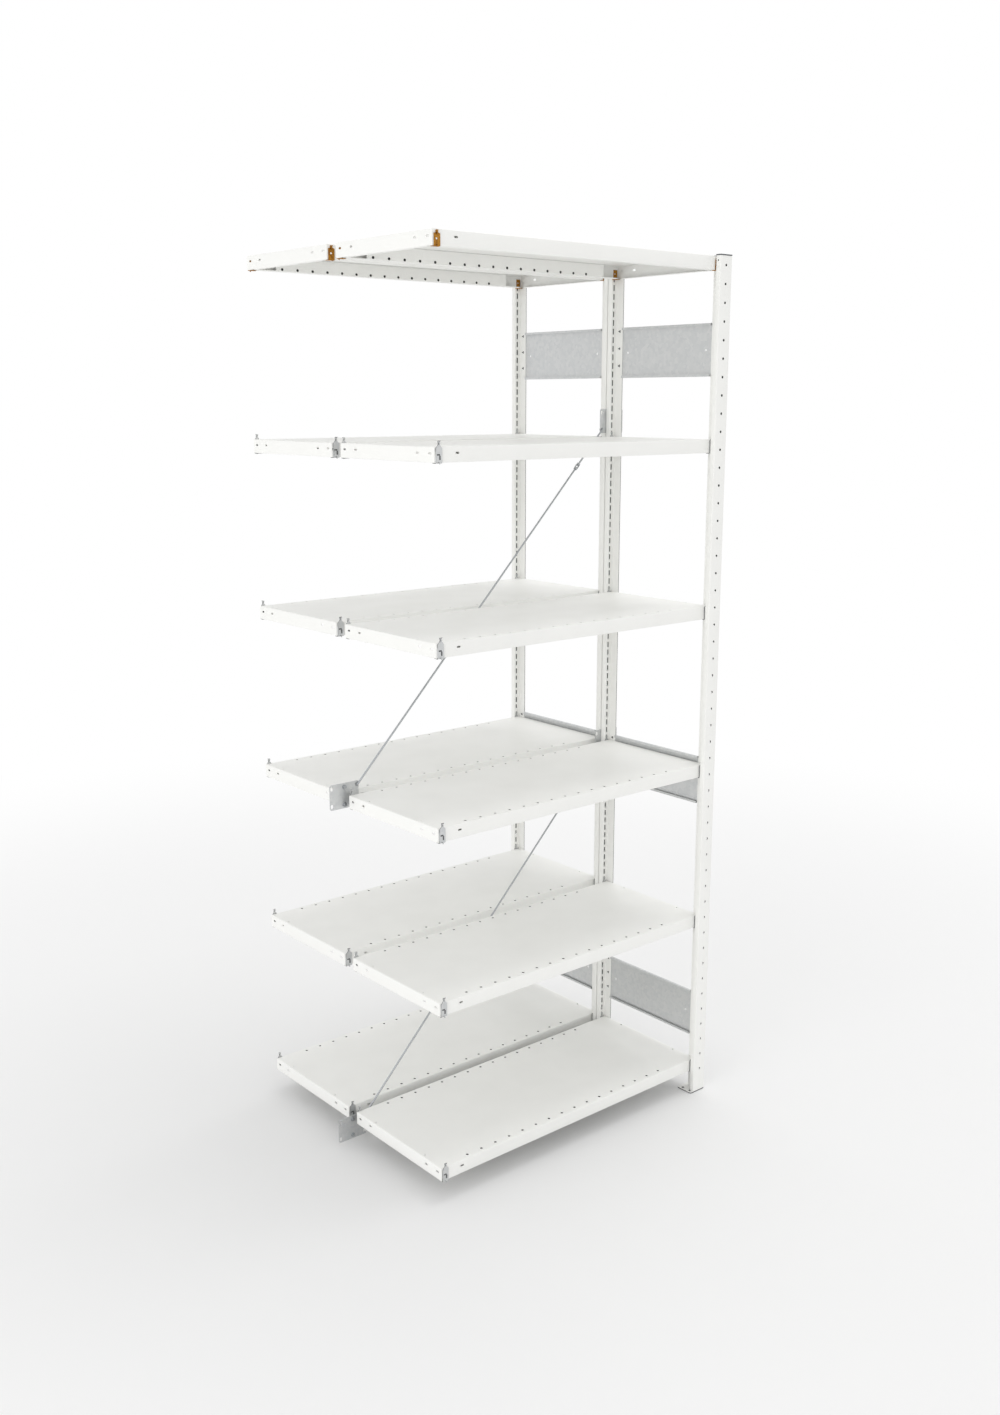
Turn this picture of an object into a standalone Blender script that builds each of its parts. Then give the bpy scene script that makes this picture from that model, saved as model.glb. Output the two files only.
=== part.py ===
"""Double-depth add-on bay of clip-in metal shelving.

Two rows of pan shelves hang on clips between the frames at the right and the frames of
the next bay at the left, which that bay brings with it. Each frame is two uprights, a
hollow head box with a double-walled stem, and three plates clinched into the stems. The
rows stand back to back and share a diagonal brace with a tensioner in each rod.

The bay is laid out with X 0 at the shelves' left ends, Y 0 at the front row's front
edges and Z 0 on the floor, then moved so that its plan is centred on the origin.
"""

import math

import bmesh
import bpy
from mathutils import Matrix, Vector

# Clearances between pieces, and how far a cutter or a joined piece reaches past a face
GAP = 0.0003
REACH = 0.001
BITE = 0.0004

# Shelf pans
SHELF_LENGTH = 1.000
SHELF_DEPTH = 0.400
SHELF_HEIGHT = 0.038
SHEET = 0.0012
LIP = 0.014
ROW_GAP = 0.040

# Levels
POST_TOP = 2.500
FIRST_LEVEL = 0.104
LEVEL_PITCH = 0.475
LEVELS_BELOW_TOP = 5

# Uprights: the head box carries the slots, the stem holds the plates
HEAD_WIDTH = 0.048
HEAD_DEPTH = 0.0167
UPRIGHT_DEPTH = 0.0427
WALL = 0.0012
STEM_SLIT = 0.0016
HEAD_CORNER = 0.0025
SHELF_TO_HEAD = 0.002
SHELF_TO_STEM = 0.0005
SLOT_WIDTH = 0.005
SLOT_HEIGHT = 0.017
SLOT_PITCH = 0.025
SLOT_FROM_CENTRE = 0.015
HOLE_PITCH = 0.050
HOLE_RADIUS = 0.004
HOLE_FROM_TOP = 0.025

# Frame plates
PLATE_HEIGHT = 0.146
PLATE_SHEET = 0.001
PLATE_TUCK = 0.018
PLATE_HEM = 0.007
HEM_BITE = 0.00025
PLATE_HOLE_RADIUS = 0.003
PLATE_HOLE_FROM_STEM = 0.022
PLATE_LOW_HEIGHT = 0.250
PLATE_MIDDLE_HEIGHT = 1.000
PLATE_BELOW_TOP = 0.250

# Caps and feet
CAP_THICKNESS = 0.003
CAP_OVERHANG = 0.0007
PLUG_DEPTH = 0.012
PLUG_CLEARANCE = 0.0004
FOOT_THICKNESS = 0.003
FOOT_INNER = 0.0375
FOOT_OUTER = 0.026
FOOT_DEPTH = 0.0567
FOOT_CORNER = 0.006
FOOT_HOLE_RADIUS = 0.0045
FOOT_HOLE = (-0.0275, 0.0407)

# Brace brackets and rods
BRACKET_WIDTH = 0.095
BRACKET_HEIGHT = 0.072
BRACKET_SHEET = 0.002
BRACKET_CORNER = 0.006
BRACKET_SLOT = (0.008, 0.012)
BRACKET_SLOT_AT = (0.041, 0.025)
BRACKET_LOW_HEIGHT = 0.050
BRACKET_RISE = 1.000
ROD_RADIUS = 0.00275
ROD_HOOK = 0.009
ROD_BEND = 0.0025
NUT_LENGTH = 0.022
NUT_RADIUS = 0.0065
NUT_FROM_END = 0.150

# Clips: heights are measured from the shelf's top
CLIP_SHEET = 0.0013
CLIP_WIDTH = 0.019
CLIP_FROM_END = 0.0125
CLIP_BOTTOM = -0.0402
CLIP_NECK = 0.0054
CLIP_TAPER = 0.0085
CLIP_LEDGE = 0.012
CLIP_SLOT = (0.009, 0.0025)
CLIP_SLOT_HEIGHT = -0.024
CLIP_HOOK_WIDTH = 0.004
CLIP_HOOK_ARM = 0.0035
CLIP_HOOK_DROP = 0.006
CLIP_LOWER_ARM = -0.0380
CLIP_SHOULDER = -0.004
CLIP_TIP = 0.0135
TOP_CLIP_SHOULDER = -0.015
TOP_CLIP_TIP = -0.0055

FRAME_X = SHELF_LENGTH + SHELF_TO_STEM + STEM_SLIT / 2 + WALL
NEIGHBOUR_X = -(SHELF_TO_STEM + STEM_SLIT / 2 + WALL)
ROW_PITCH = SHELF_DEPTH + ROW_GAP
MIDDLE_Y = SHELF_DEPTH + ROW_GAP / 2
CENTRE_X = (NEIGHBOUR_X + FRAME_X) / 2
ORIGIN = Vector((CENTRE_X, MIDDLE_Y, 0))
LEVELS = [FIRST_LEVEL + LEVEL_PITCH * step for step in range(LEVELS_BELOW_TOP)]
LEVELS.append(POST_TOP)
POST_BOTTOM = FOOT_THICKNESS + GAP
PLATE_HEIGHTS = (PLATE_LOW_HEIGHT, PLATE_MIDDLE_HEIGHT, POST_TOP - PLATE_BELOW_TOP)

PLANES = {
    "XY": Matrix.Identity(4),
    "XZ": Matrix(((1, 0, 0, 0), (0, 0, 1, 0), (0, 1, 0, 0), (0, 0, 0, 1))),
    "YZ": Matrix(((0, 0, 1, 0), (1, 0, 0, 0), (0, 1, 0, 0), (0, 0, 0, 1))),
}


def linear(channel):
    """One sRGB channel, 0 to 1, as linear light."""
    if channel <= 0.04045:
        return channel / 12.92
    return ((channel + 0.055) / 1.055) ** 2.4


def finish(name, hex_colour, roughness, metallic):
    """A Principled material from an sRGB hex colour."""
    material = bpy.data.materials.new(name)
    material.use_nodes = True
    shader = material.node_tree.nodes["Principled BSDF"]
    channels = [int(hex_colour[at : at + 2], 16) / 255 for at in (1, 3, 5)]
    colour = [linear(channel) for channel in channels]
    shader.inputs["Base Color"].default_value = (*colour, 1)
    shader.inputs["Roughness"].default_value = roughness
    shader.inputs["Metallic"].default_value = metallic
    return material


def mesh_from(bm, name):
    """A mesh datablock from bm, with its faces turned outwards."""
    bmesh.ops.recalc_face_normals(bm, faces=bm.faces)
    mesh = bpy.data.meshes.new(name)
    bm.to_mesh(mesh)
    bm.free()
    return mesh


def add_prism(bm, outline, start, end, plane="XY"):
    """Add to bm the outline, drawn in plane, pushed from start to end across it."""
    turn = PLANES[plane]
    corners = [bm.verts.new(turn @ Vector((u, v, start))) for u, v in outline]
    face = bm.faces.new(corners)
    pushed = bmesh.ops.extrude_face_region(bm, geom=[face])["geom"]
    far_side = [item for item in pushed if isinstance(item, bmesh.types.BMVert)]
    step = turn @ Vector((0, 0, end - start))
    bmesh.ops.translate(bm, verts=far_side, vec=step)


def prism(name, outline, start, end, plane="XY"):
    """A mesh of the outline pushed from start to end across its plane."""
    bm = bmesh.new()
    add_prism(bm, outline, start, end, plane)
    return mesh_from(bm, name)


def rectangle(centre, size):
    """The four corners of a rectangle in a plane."""
    (u, v), (width, height) = centre, size
    left, right = u - width / 2, u + width / 2
    low, high = v - height / 2, v + height / 2
    return [(left, low), (right, low), (right, high), (left, high)]


def circle(centre, radius, sides):
    """A regular polygon in a plane, with a flat at the top and the bottom."""
    half = math.pi / sides
    angles = [half * (2 * side + 1) - math.pi / 2 for side in range(sides)]
    u, v = centre
    return [(u + radius * math.cos(a), v + radius * math.sin(a)) for a in angles]


def rounded(outline, radii, steps=2):
    """The outline with each corner turned into an arc of its own radius, 0 for none."""
    points = []
    for index, (corner, radius) in enumerate(zip(outline, radii)):
        if not radius:
            points.append(corner)
            continue
        here = Vector(corner)
        before = (Vector(outline[index - 1]) - here).normalized()
        after = (Vector(outline[(index + 1) % len(outline)]) - here).normalized()
        centre = here + (before + after) * radius
        for step in range(steps + 1):
            turn = math.pi / 2 * step / steps
            spoke = -after * math.cos(turn) - before * math.sin(turn)
            points.append(tuple(centre + spoke * radius))
    return points


def boolean(base, other, operation):
    """A new mesh: base with other joined to it or cut from it."""
    carrier = bpy.data.objects.new("carrier", base)
    tool = bpy.data.objects.new("tool", other)
    for obj in (carrier, tool):
        bpy.context.scene.collection.objects.link(obj)
    modifier = carrier.modifiers.new(operation, "BOOLEAN")
    modifier.operation = operation
    modifier.solver = "EXACT"
    modifier.object = tool
    graph = bpy.context.evaluated_depsgraph_get()
    result = bpy.data.meshes.new_from_object(carrier.evaluated_get(graph))
    result.name = base.name
    for obj in (carrier, tool):
        bpy.data.objects.remove(obj)
    return result


def flipped(mesh):
    """A copy of the mesh with y negated and its faces still outwards."""
    bm = bmesh.new()
    bm.from_mesh(mesh)
    bmesh.ops.scale(bm, verts=bm.verts, vec=(1, -1, 1))
    return mesh_from(bm, mesh.name + "_flipped")


def moved(mesh, offset):
    """A copy of the mesh, moved by offset."""
    copy = mesh.copy()
    copy.transform(Matrix.Translation(offset))
    return copy


def gathered(meshes, name):
    """One mesh that holds every body of several."""
    bm = bmesh.new()
    for mesh in meshes:
        bm.from_mesh(mesh)
    return mesh_from(bm, name)


def place(name, mesh, bay_point, material):
    """An object for one node, its origin at a point of the bay."""
    obj = bpy.data.objects.new(name, mesh)
    bpy.context.scene.collection.objects.link(obj)
    obj.location = Vector(bay_point) - ORIGIN
    if not mesh.materials:
        mesh.materials.append(material)
    return obj


def clip_outline(shoulder, tip):
    """The clip's plate from the front: a body that tapers above its shoulders to a narrow neck."""
    half, neck = CLIP_WIDTH / 2, CLIP_NECK / 2
    right = [
        (half, CLIP_BOTTOM),
        (half, shoulder),
        (neck, shoulder + CLIP_TAPER),
        (neck, tip),
    ]
    left = [(-x, z) for x, z in reversed(right)]
    return right + left


def clip_hook(arm):
    """A hook's side view: an arm back through the upright's slot, then a drop behind it."""
    start = -GAP - CLIP_SHEET / 2
    behind = -SHELF_TO_HEAD - WALL - GAP
    far = behind - CLIP_SHEET
    return [
        (start, arm),
        (start, arm + CLIP_HOOK_ARM),
        (far, arm + CLIP_HOOK_ARM),
        (far, arm - CLIP_HOOK_DROP + CLIP_HOOK_ARM),
        (behind, arm - CLIP_HOOK_DROP + CLIP_HOOK_ARM),
        (behind, arm),
    ]


def clip_ledge():
    """The clip's foot, turned in under the shelf's rim: its side view."""
    start = -GAP - CLIP_SHEET / 2
    top = -SHELF_HEIGHT - GAP
    return [(start, CLIP_BOTTOM + GAP), (CLIP_LEDGE, CLIP_BOTTOM + GAP), (CLIP_LEDGE, top), (start, top)]


def clip_heights(level):
    """Where the shoulder and the tip of a level's clips are, from the shelf's top."""
    if level == len(LEVELS) - 1:
        return TOP_CLIP_SHOULDER, TOP_CLIP_TIP
    return CLIP_SHOULDER, CLIP_TIP


def clip(level):
    """A loose clip: the shelf's face is y 0, its top is z 0 and the upright is at -y."""
    shoulder, tip = clip_heights(level)
    plate = prism("clip", clip_outline(shoulder, tip), -GAP - CLIP_SHEET, -GAP, "XZ")
    half = CLIP_HOOK_WIDTH / 2
    turned = bmesh.new()
    add_prism(turned, clip_hook(tip - CLIP_HOOK_ARM - GAP), -half, half, "YZ")
    add_prism(turned, clip_hook(CLIP_LOWER_ARM), -half, half, "YZ")
    joined = boolean(plate, mesh_from(turned, "hooks"), "UNION")
    ledge = prism("ledge", clip_ledge(), -CLIP_WIDTH / 2 + GAP, CLIP_WIDTH / 2 - GAP, "YZ")
    joined = boolean(joined, ledge, "UNION")
    slot = rectangle((0, CLIP_SLOT_HEIGHT), CLIP_SLOT)
    cutter = prism("slot", slot, -SHELF_TO_HEAD, REACH, "XZ")
    return boolean(joined, cutter, "DIFFERENCE")


def fixed_clip(level, back, front):
    """A clip that is one with its carrier: a plate from y back to y front, and its ledge."""
    shoulder, _ = clip_heights(level)
    top = -SHELF_HEIGHT - GAP
    side = [
        (back, CLIP_BOTTOM),
        (CLIP_LEDGE, CLIP_BOTTOM),
        (CLIP_LEDGE, top),
        (front, top),
        (front, shoulder),
        (back, shoulder),
    ]
    return prism("clip", side, -CLIP_WIDTH / 2, CLIP_WIDTH / 2, "YZ")


def shelf_loop(bm, inset, height):
    """Four corners of the shelf's plan, drawn in by inset."""
    centre = (SHELF_LENGTH / 2, SHELF_DEPTH / 2)
    size = (SHELF_LENGTH - 2 * inset, SHELF_DEPTH - 2 * inset)
    return [bm.verts.new((x, y, height)) for x, y in rectangle(centre, size)]


def shelf_pan():
    """The folded pan: a top, four flanges and a lip turned in along each flange."""
    bm = bmesh.new()
    loops = [
        shelf_loop(bm, 0, 0),
        shelf_loop(bm, 0, -SHELF_HEIGHT),
        shelf_loop(bm, SHEET + LIP, -SHELF_HEIGHT),
        shelf_loop(bm, SHEET + LIP, -SHELF_HEIGHT + SHEET),
        shelf_loop(bm, SHEET, -SHELF_HEIGHT + SHEET),
        shelf_loop(bm, SHEET, -SHEET),
    ]
    bm.faces.new(loops[0])
    bm.faces.new(loops[-1])
    for above, below in zip(loops, loops[1:]):
        for side in range(4):
            after = (side + 1) % 4
            bm.faces.new((above[side], above[after], below[after], below[side]))
    return mesh_from(bm, "shelf")


def shelf(level):
    """One shelf, with the clip at its rear left corner hooked on it."""
    rear_clip = flipped(fixed_clip(level, -GAP - CLIP_SHEET, BITE))
    corner = Vector((CLIP_FROM_END, SHELF_DEPTH, 0))
    return boolean(shelf_pan(), moved(rear_clip, corner), "UNION")


def upright_outline():
    """The section of one bent sheet: a head box whose two edges run on as the stem."""
    half, slit = HEAD_WIDTH / 2, STEM_SLIT / 2
    stem = slit + WALL
    outer = [(stem, UPRIGHT_DEPTH), (stem, HEAD_DEPTH), (half, HEAD_DEPTH), (half, 0)]
    radii = [0, 0, HEAD_CORNER, HEAD_CORNER]
    inner = [
        (half - WALL, WALL),
        (half - WALL, HEAD_DEPTH - WALL),
        (slit, HEAD_DEPTH - WALL),
        (slit, UPRIGHT_DEPTH),
    ]
    outline = mirrored(outer) + outer[::-1]
    inside = inner[::-1] + mirrored(inner)
    corner_radii = radii + radii[::-1] + [0] * len(inside)
    return rounded(outline + inside, corner_radii)


def mirrored(points):
    """The points with x negated, in the same order."""
    return [(-x, y) for x, y in points]


def upright_slots():
    """Cutters for the column of clip slots in the head's inner wall, on the bay's side."""
    bm = bmesh.new()
    height = SLOT_PITCH / 2
    while height + SLOT_HEIGHT / 2 < POST_TOP:
        if height - SLOT_HEIGHT / 2 > POST_BOTTOM:
            slot = rectangle((-SLOT_FROM_CENTRE, height), (SLOT_WIDTH, SLOT_HEIGHT))
            add_prism(bm, slot, HEAD_DEPTH - WALL - REACH, HEAD_DEPTH + REACH, "XZ")
        height += SLOT_PITCH
    return mesh_from(bm, "slots")


def upright_holes():
    """Cutters for the round holes down the middle of the head's face."""
    bm = bmesh.new()
    height = POST_TOP - HOLE_FROM_TOP
    while height - HOLE_RADIUS > POST_BOTTOM:
        add_prism(bm, circle((0, height), HOLE_RADIUS, 6), -REACH, WALL + REACH, "XZ")
        height -= HOLE_PITCH
    return mesh_from(bm, "holes")


def upright(holes):
    """An upright whose face is y 0 and whose stem runs to +y, with the bay's clips on it."""
    post = prism("upright", upright_outline(), POST_BOTTOM, POST_TOP)
    post = boolean(post, upright_slots(), "DIFFERENCE")
    if holes:
        post = boolean(post, upright_holes(), "DIFFERENCE")
    face = HEAD_DEPTH + SHELF_TO_HEAD
    carried = []
    for level, top in enumerate(LEVELS):
        piece = fixed_clip(level, -SHELF_TO_HEAD - BITE, -GAP)
        carried.append(moved(piece, (-SLOT_FROM_CENTRE, face, top)))
    return boolean(post, gathered(carried, "clips"), "UNION")


def cap():
    """A push-in cap: a thin lid over the upright's end and a plug in its head box."""
    over = CAP_OVERHANG
    half, stem = HEAD_WIDTH / 2 + over, STEM_SLIT / 2 + WALL + SHELF_TO_STEM - GAP
    shoulder, back = HEAD_DEPTH + over, UPRIGHT_DEPTH + over
    right = [(half, -over), (half, shoulder), (stem, shoulder), (stem, back)]
    outline = right + mirrored(right[::-1])
    radii = [HEAD_CORNER, HEAD_CORNER, 0, 0, 0, 0, HEAD_CORNER, HEAD_CORNER]
    lid = prism("cap", rounded(outline, radii), GAP, GAP + CAP_THICKNESS)
    return boolean(lid, plug(-PLUG_DEPTH, GAP + CAP_THICKNESS / 2), "UNION")


def plug(start, end):
    """A block that fills the upright's head box with a little clearance."""
    inside = WALL + PLUG_CLEARANCE
    size = (HEAD_WIDTH - 2 * inside, HEAD_DEPTH - 2 * inside)
    return prism("plug", rectangle((0, HEAD_DEPTH / 2), size), start, end)


def foot():
    """A foot plate with a plug for the upright and an anchor hole on the bay's side."""
    centre = ((FOOT_OUTER - FOOT_INNER) / 2, FOOT_DEPTH / 2)
    outline = rounded(rectangle(centre, (FOOT_OUTER + FOOT_INNER, FOOT_DEPTH)), [FOOT_CORNER] * 4)
    base = prism("foot", outline, 0, FOOT_THICKNESS)
    base = boolean(base, plug(FOOT_THICKNESS / 2, FOOT_THICKNESS + PLUG_DEPTH), "UNION")
    hole = prism("hole", circle(FOOT_HOLE, FOOT_HOLE_RADIUS, 8), -REACH, FOOT_THICKNESS + REACH)
    return boolean(base, hole, "DIFFERENCE")


def plate_length():
    """A frame plate's length, with both ends tucked into the stems."""
    between = SHELF_DEPTH + 2 * (SHELF_TO_HEAD + HEAD_DEPTH) - 2 * UPRIGHT_DEPTH
    return between + 2 * PLATE_TUCK


def frame_plate():
    """A frame plate with its long edges turned over between the stems, on its centre."""
    half, length = PLATE_HEIGHT / 2, plate_length()
    sheet = rectangle((0, 0), (length, PLATE_HEIGHT))
    plate = prism("plate", sheet, -PLATE_SHEET / 2, PLATE_SHEET / 2, "YZ")
    run = length / 2 - PLATE_TUCK - PLATE_SHEET
    hem = [
        (HEM_BITE, half),
        (-PLATE_HEM, half),
        (-PLATE_HEM, half - PLATE_HEM),
        (-PLATE_HEM + PLATE_SHEET, half - PLATE_HEM),
        (-PLATE_HEM + PLATE_SHEET, half - PLATE_SHEET),
        (HEM_BITE, half - PLATE_SHEET),
    ]
    hems = bmesh.new()
    add_prism(hems, [(x, z - GAP) for x, z in hem], -run, run, "XZ")
    add_prism(hems, [(x, GAP - z) for x, z in hem], -run, run, "XZ")
    plate = boolean(plate, mesh_from(hems, "hems"), "UNION")
    holes = bmesh.new()
    at = length / 2 - PLATE_TUCK - PLATE_HOLE_FROM_STEM
    for y in (-at, at):
        add_prism(holes, circle((y, 0), PLATE_HOLE_RADIUS, 8), -REACH, REACH, "YZ")
    return boolean(plate, mesh_from(holes, "holes"), "DIFFERENCE")


def bracket():
    """A brace bracket on its centre: four corner slots for the hooks and two bolt holes."""
    outline = rounded(rectangle((0, 0), (BRACKET_WIDTH, BRACKET_HEIGHT)), [BRACKET_CORNER] * 4)
    half = BRACKET_SHEET / 2
    sheet = prism("bracket", outline, -half, half, "XZ")
    bm = bmesh.new()
    x, z = BRACKET_SLOT_AT
    for centre in ((-x, -z), (x, -z), (x, z), (-x, z)):
        add_prism(bm, rectangle(centre, BRACKET_SLOT), -half - REACH, half + REACH, "XZ")
    for centre in ((0, -z), (0, z)):
        add_prism(bm, circle(centre, HOLE_RADIUS, 6), -half - REACH, half + REACH, "XZ")
    return boolean(sheet, mesh_from(bm, "bracket_holes"), "DIFFERENCE")


def rod_ends(low):
    """Where a rod's two ends hook into its brackets, for the lower bracket's centre height."""
    x, z = BRACKET_SLOT_AT
    y = MIDDLE_Y - BRACKET_SHEET / 2 - GAP - ROD_RADIUS
    start = Vector((NEIGHBOUR_X + x, y, low + z))
    end = Vector((FRAME_X - x, y, low + BRACKET_RISE - z))
    return start, end


def brace_rod(name, low, material):
    """A round rod between two brackets, its ends bent back through their slots."""
    start, end = rod_ends(low)
    along = (end - start).normalized()
    hook = Vector((0, ROD_HOOK, 0))
    bend = Vector((0, ROD_BEND, 0))
    path = [start + hook, start + bend, start + along * ROD_BEND]
    path += [end - along * ROD_BEND, end + bend, end + hook]
    curve = bpy.data.curves.new(name, "CURVE")
    curve.dimensions = "3D"
    curve.bevel_depth = ROD_RADIUS
    curve.bevel_resolution = 2
    curve.use_fill_caps = True
    curve.materials.append(material)
    spline = curve.splines.new("POLY")
    spline.use_smooth = True
    spline.points.add(len(path) - 1)
    for point, position in zip(spline.points, path):
        point.co = (*(position - start), 1)
    obj = bpy.data.objects.new(name, curve)
    bpy.context.scene.collection.objects.link(obj)
    obj.location = start - ORIGIN
    return obj


def tensioner():
    """A hexagonal nut with a bore, its axis along z and its middle on the origin."""
    half = NUT_LENGTH / 2
    nut = prism("tensioner", circle((0, 0), NUT_RADIUS, 6), -half, half)
    bore = circle((0, 0), ROD_RADIUS + GAP, 12)
    cutter = prism("bore", bore, -half - REACH, half + REACH)
    return boolean(nut, cutter, "DIFFERENCE")


def build_shelves(white, zinc, gold):
    """Two rows of shelves, each with the clip at its front left corner."""
    for level, top in enumerate(LEVELS):
        pan, hook = shelf(level), clip(level)
        plating = gold if level == len(LEVELS) - 1 else zinc
        for row, y in (("front", 0), ("rear", ROW_PITCH)):
            number = level + 1
            place(f"shelf_{row}_{number}", pan, (0, y, top), white)
            place(f"clip_{row}_{number}", hook, (CLIP_FROM_END, y, top), plating)


def build_frames(white, zinc, grey):
    """Four uprights in two frames back to back, with their caps, feet and plates."""
    reach = SHELF_TO_HEAD + HEAD_DEPTH
    pierced, plain = upright(True), upright(False)
    lid, base, plate = cap(), foot(), frame_plate()
    faces = [
        (-reach, pierced, False),
        (SHELF_DEPTH + reach, plain, True),
        (ROW_PITCH - reach, plain, False),
        (ROW_PITCH + SHELF_DEPTH + reach, plain, True),
    ]
    for number, (y, post, turned) in enumerate(faces, 1):
        pieces = [("upright", post, 0, white), ("cap", lid, POST_TOP, grey), ("foot", base, 0, white)]
        for kind, mesh, z, material in pieces:
            shape = flipped(mesh) if turned else mesh
            place(f"{kind}_{number}", shape, (FRAME_X, y, z), material)
    for row, y in (("front", SHELF_DEPTH / 2), ("rear", ROW_PITCH + SHELF_DEPTH / 2)):
        for number, z in enumerate(PLATE_HEIGHTS, 1):
            place(f"plate_{row}_{number}", plate, (FRAME_X, y, z), zinc)


def build_brace(zinc):
    """Four brackets between the rows, two rods across them and a tensioner on each rod."""
    plate = bracket()
    places = [
        ("bracket_left_low", NEIGHBOUR_X, BRACKET_LOW_HEIGHT),
        ("bracket_left_middle", NEIGHBOUR_X, BRACKET_LOW_HEIGHT + BRACKET_RISE),
        ("bracket_right_middle", FRAME_X, BRACKET_LOW_HEIGHT + BRACKET_RISE),
        ("bracket_right_high", FRAME_X, BRACKET_LOW_HEIGHT + 2 * BRACKET_RISE),
    ]
    for name, x, z in places:
        place(name, plate, (x, MIDDLE_Y, z), zinc)
    nut = tensioner()
    for number, low in enumerate((BRACKET_LOW_HEIGHT, BRACKET_LOW_HEIGHT + BRACKET_RISE), 1):
        brace_rod(f"brace_rod_{number}", low, zinc)
        start, end = rod_ends(low)
        along = (end - start).normalized()
        obj = place(f"tensioner_{number}", nut, end - along * NUT_FROM_END, zinc)
        obj.rotation_mode = "QUATERNION"
        obj.rotation_quaternion = along.to_track_quat("Z", "Y")


def main():
    for obj in list(bpy.data.objects):
        bpy.data.objects.remove(obj)
    white = finish("white_powder_coat", "#F4F4F2", 0.45, 0.0)
    zinc = finish("galvanised_steel", "#B9BABA", 0.38, 0.9)
    gold = finish("yellow_passivated_steel", "#B07A28", 0.4, 0.8)
    grey = finish("grey_plastic", "#5B5D5F", 0.6, 0.0)
    build_shelves(white, zinc, gold)
    build_frames(white, zinc, grey)
    build_brace(zinc)


main()
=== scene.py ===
"""A double-depth add-on bay of clip-in steel shelving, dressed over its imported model.

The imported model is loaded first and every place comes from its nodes' boxes, in metres.
Each operator makes one kind of piece: a flat sheet is cut as a grid of points with its
holes left out, folded along its section, and given its thickness.
"""

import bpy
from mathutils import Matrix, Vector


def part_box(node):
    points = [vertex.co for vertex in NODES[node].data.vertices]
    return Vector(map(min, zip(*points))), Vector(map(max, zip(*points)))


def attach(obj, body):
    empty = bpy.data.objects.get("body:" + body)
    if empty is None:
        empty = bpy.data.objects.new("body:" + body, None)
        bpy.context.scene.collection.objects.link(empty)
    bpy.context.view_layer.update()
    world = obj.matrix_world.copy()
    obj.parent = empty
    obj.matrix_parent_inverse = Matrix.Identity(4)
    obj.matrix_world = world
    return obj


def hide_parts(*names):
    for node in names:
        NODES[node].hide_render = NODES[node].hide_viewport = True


bl_info = {
    "name": "Double-depth shelving bay",
    "version": (1, 0, 0),
    "blender": (4, 5, 0),
    "location": "3D View > Sidebar > Shelving",
    "description": "Pan shelves, slotted uprights, clips and a rod brace on the packed model",
    "category": "Add Mesh",
}

import bmesh
import bpy
import numpy as np
from bpy.props import FloatProperty, FloatVectorProperty, IntProperty, PointerProperty
from bpy.types import Operator, Panel, PropertyGroup
from mathutils import Vector

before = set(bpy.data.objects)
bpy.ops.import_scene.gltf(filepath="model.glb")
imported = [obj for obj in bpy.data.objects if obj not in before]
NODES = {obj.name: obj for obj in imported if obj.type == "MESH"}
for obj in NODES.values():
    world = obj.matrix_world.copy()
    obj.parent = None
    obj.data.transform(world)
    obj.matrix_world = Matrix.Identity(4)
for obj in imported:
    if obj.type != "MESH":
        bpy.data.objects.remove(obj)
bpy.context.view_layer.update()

ROWS = ("front", "rear")
LEVELS = range(1, 7)
TOP_LEVEL = 6
UPRIGHTS = (1, 2, 3, 4)
BRACKETS = ("left_low", "left_middle", "right_middle", "right_high")
ROD_BRACKETS = {1: ("left_low", "right_middle"), 2: ("left_middle", "right_high")}
UP = np.array([0.0, 0.0, 1.0])
BACK = np.array([0.0, 1.0, 0.0])

# Where the camera stands in metres and how it is turned in degrees, fitted to the photograph,
# how far it sees, and the floor's sides
CAMERA_PLACE = (-2.5477, -3.0901, 2.1148)
CAMERA_TURN = (77.49, 0.0, -40.143)
FAR_CLIP, FLOOR_SIDES = 200, 64
# Each lamp's place, the point that it looks at and its size
LAMPS = {
    "key": ((-7.0, -1.5, 2.4), (0, 0, 1.2), 4.0),
    "front": ((-1.0, -7.5, 3.0), (0, 0, 1.2), 4.0),
    "roof": ((1.4, -0.2, 6.3), (0, 0, 0), 3.0),
}

# Lengths from here on are in metres. A pan's holes: how far from its foot, its top, its ends
# and its long edges they lie, and their half sizes and corner radii
LEG_HOLE_RISE, LEG_HOLE_HALF = 0.0056, 0.0034
EDGE_HOLE_DROP = 0.0154
EDGE_SLOT_INSET, EDGE_SLOT_HALF, SLOT_ROUND = 0.070, 0.0062, 0.0024
END_SLOT_INSETS, END_SLOT_HALF = (0.0185, 0.068), (0.0027, 0.006)
TOP_HOLE_FROM_END, TOP_HOLE_INSET, TOP_HOLE_RADIUS = 0.0084, 0.085, 0.0033
# A pan's corners: from where and over what length its edges draw together, how far, and
# between which distances from an end its long edges step in
DRAWN_FROM, DRAWN_OVER, DRAWN_X, DRAWN_Y = 0.010, 0.0078, 0.0021, 0.0007
STEP_FROM, STEP_TO, LIP_CLEARANCE = 0.023, 0.025, 0.0013

# A clip's cuts: middle across, height from the shelf's top, half width, half height, radius
CLIP_CUTS = ((-0.0018, -0.0190, 0.0046, 0.0019), (0.0026, -0.0262, 0.0022, 0.0053))
TOP_CLIP_CUT = (-0.0010, -0.0225, 0.0030, 0.0022, 0.0022)
NECK_HOLE_DROP, NECK_HOLE_HALF = 0.0003, (0.0009, 0.0028)
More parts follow.
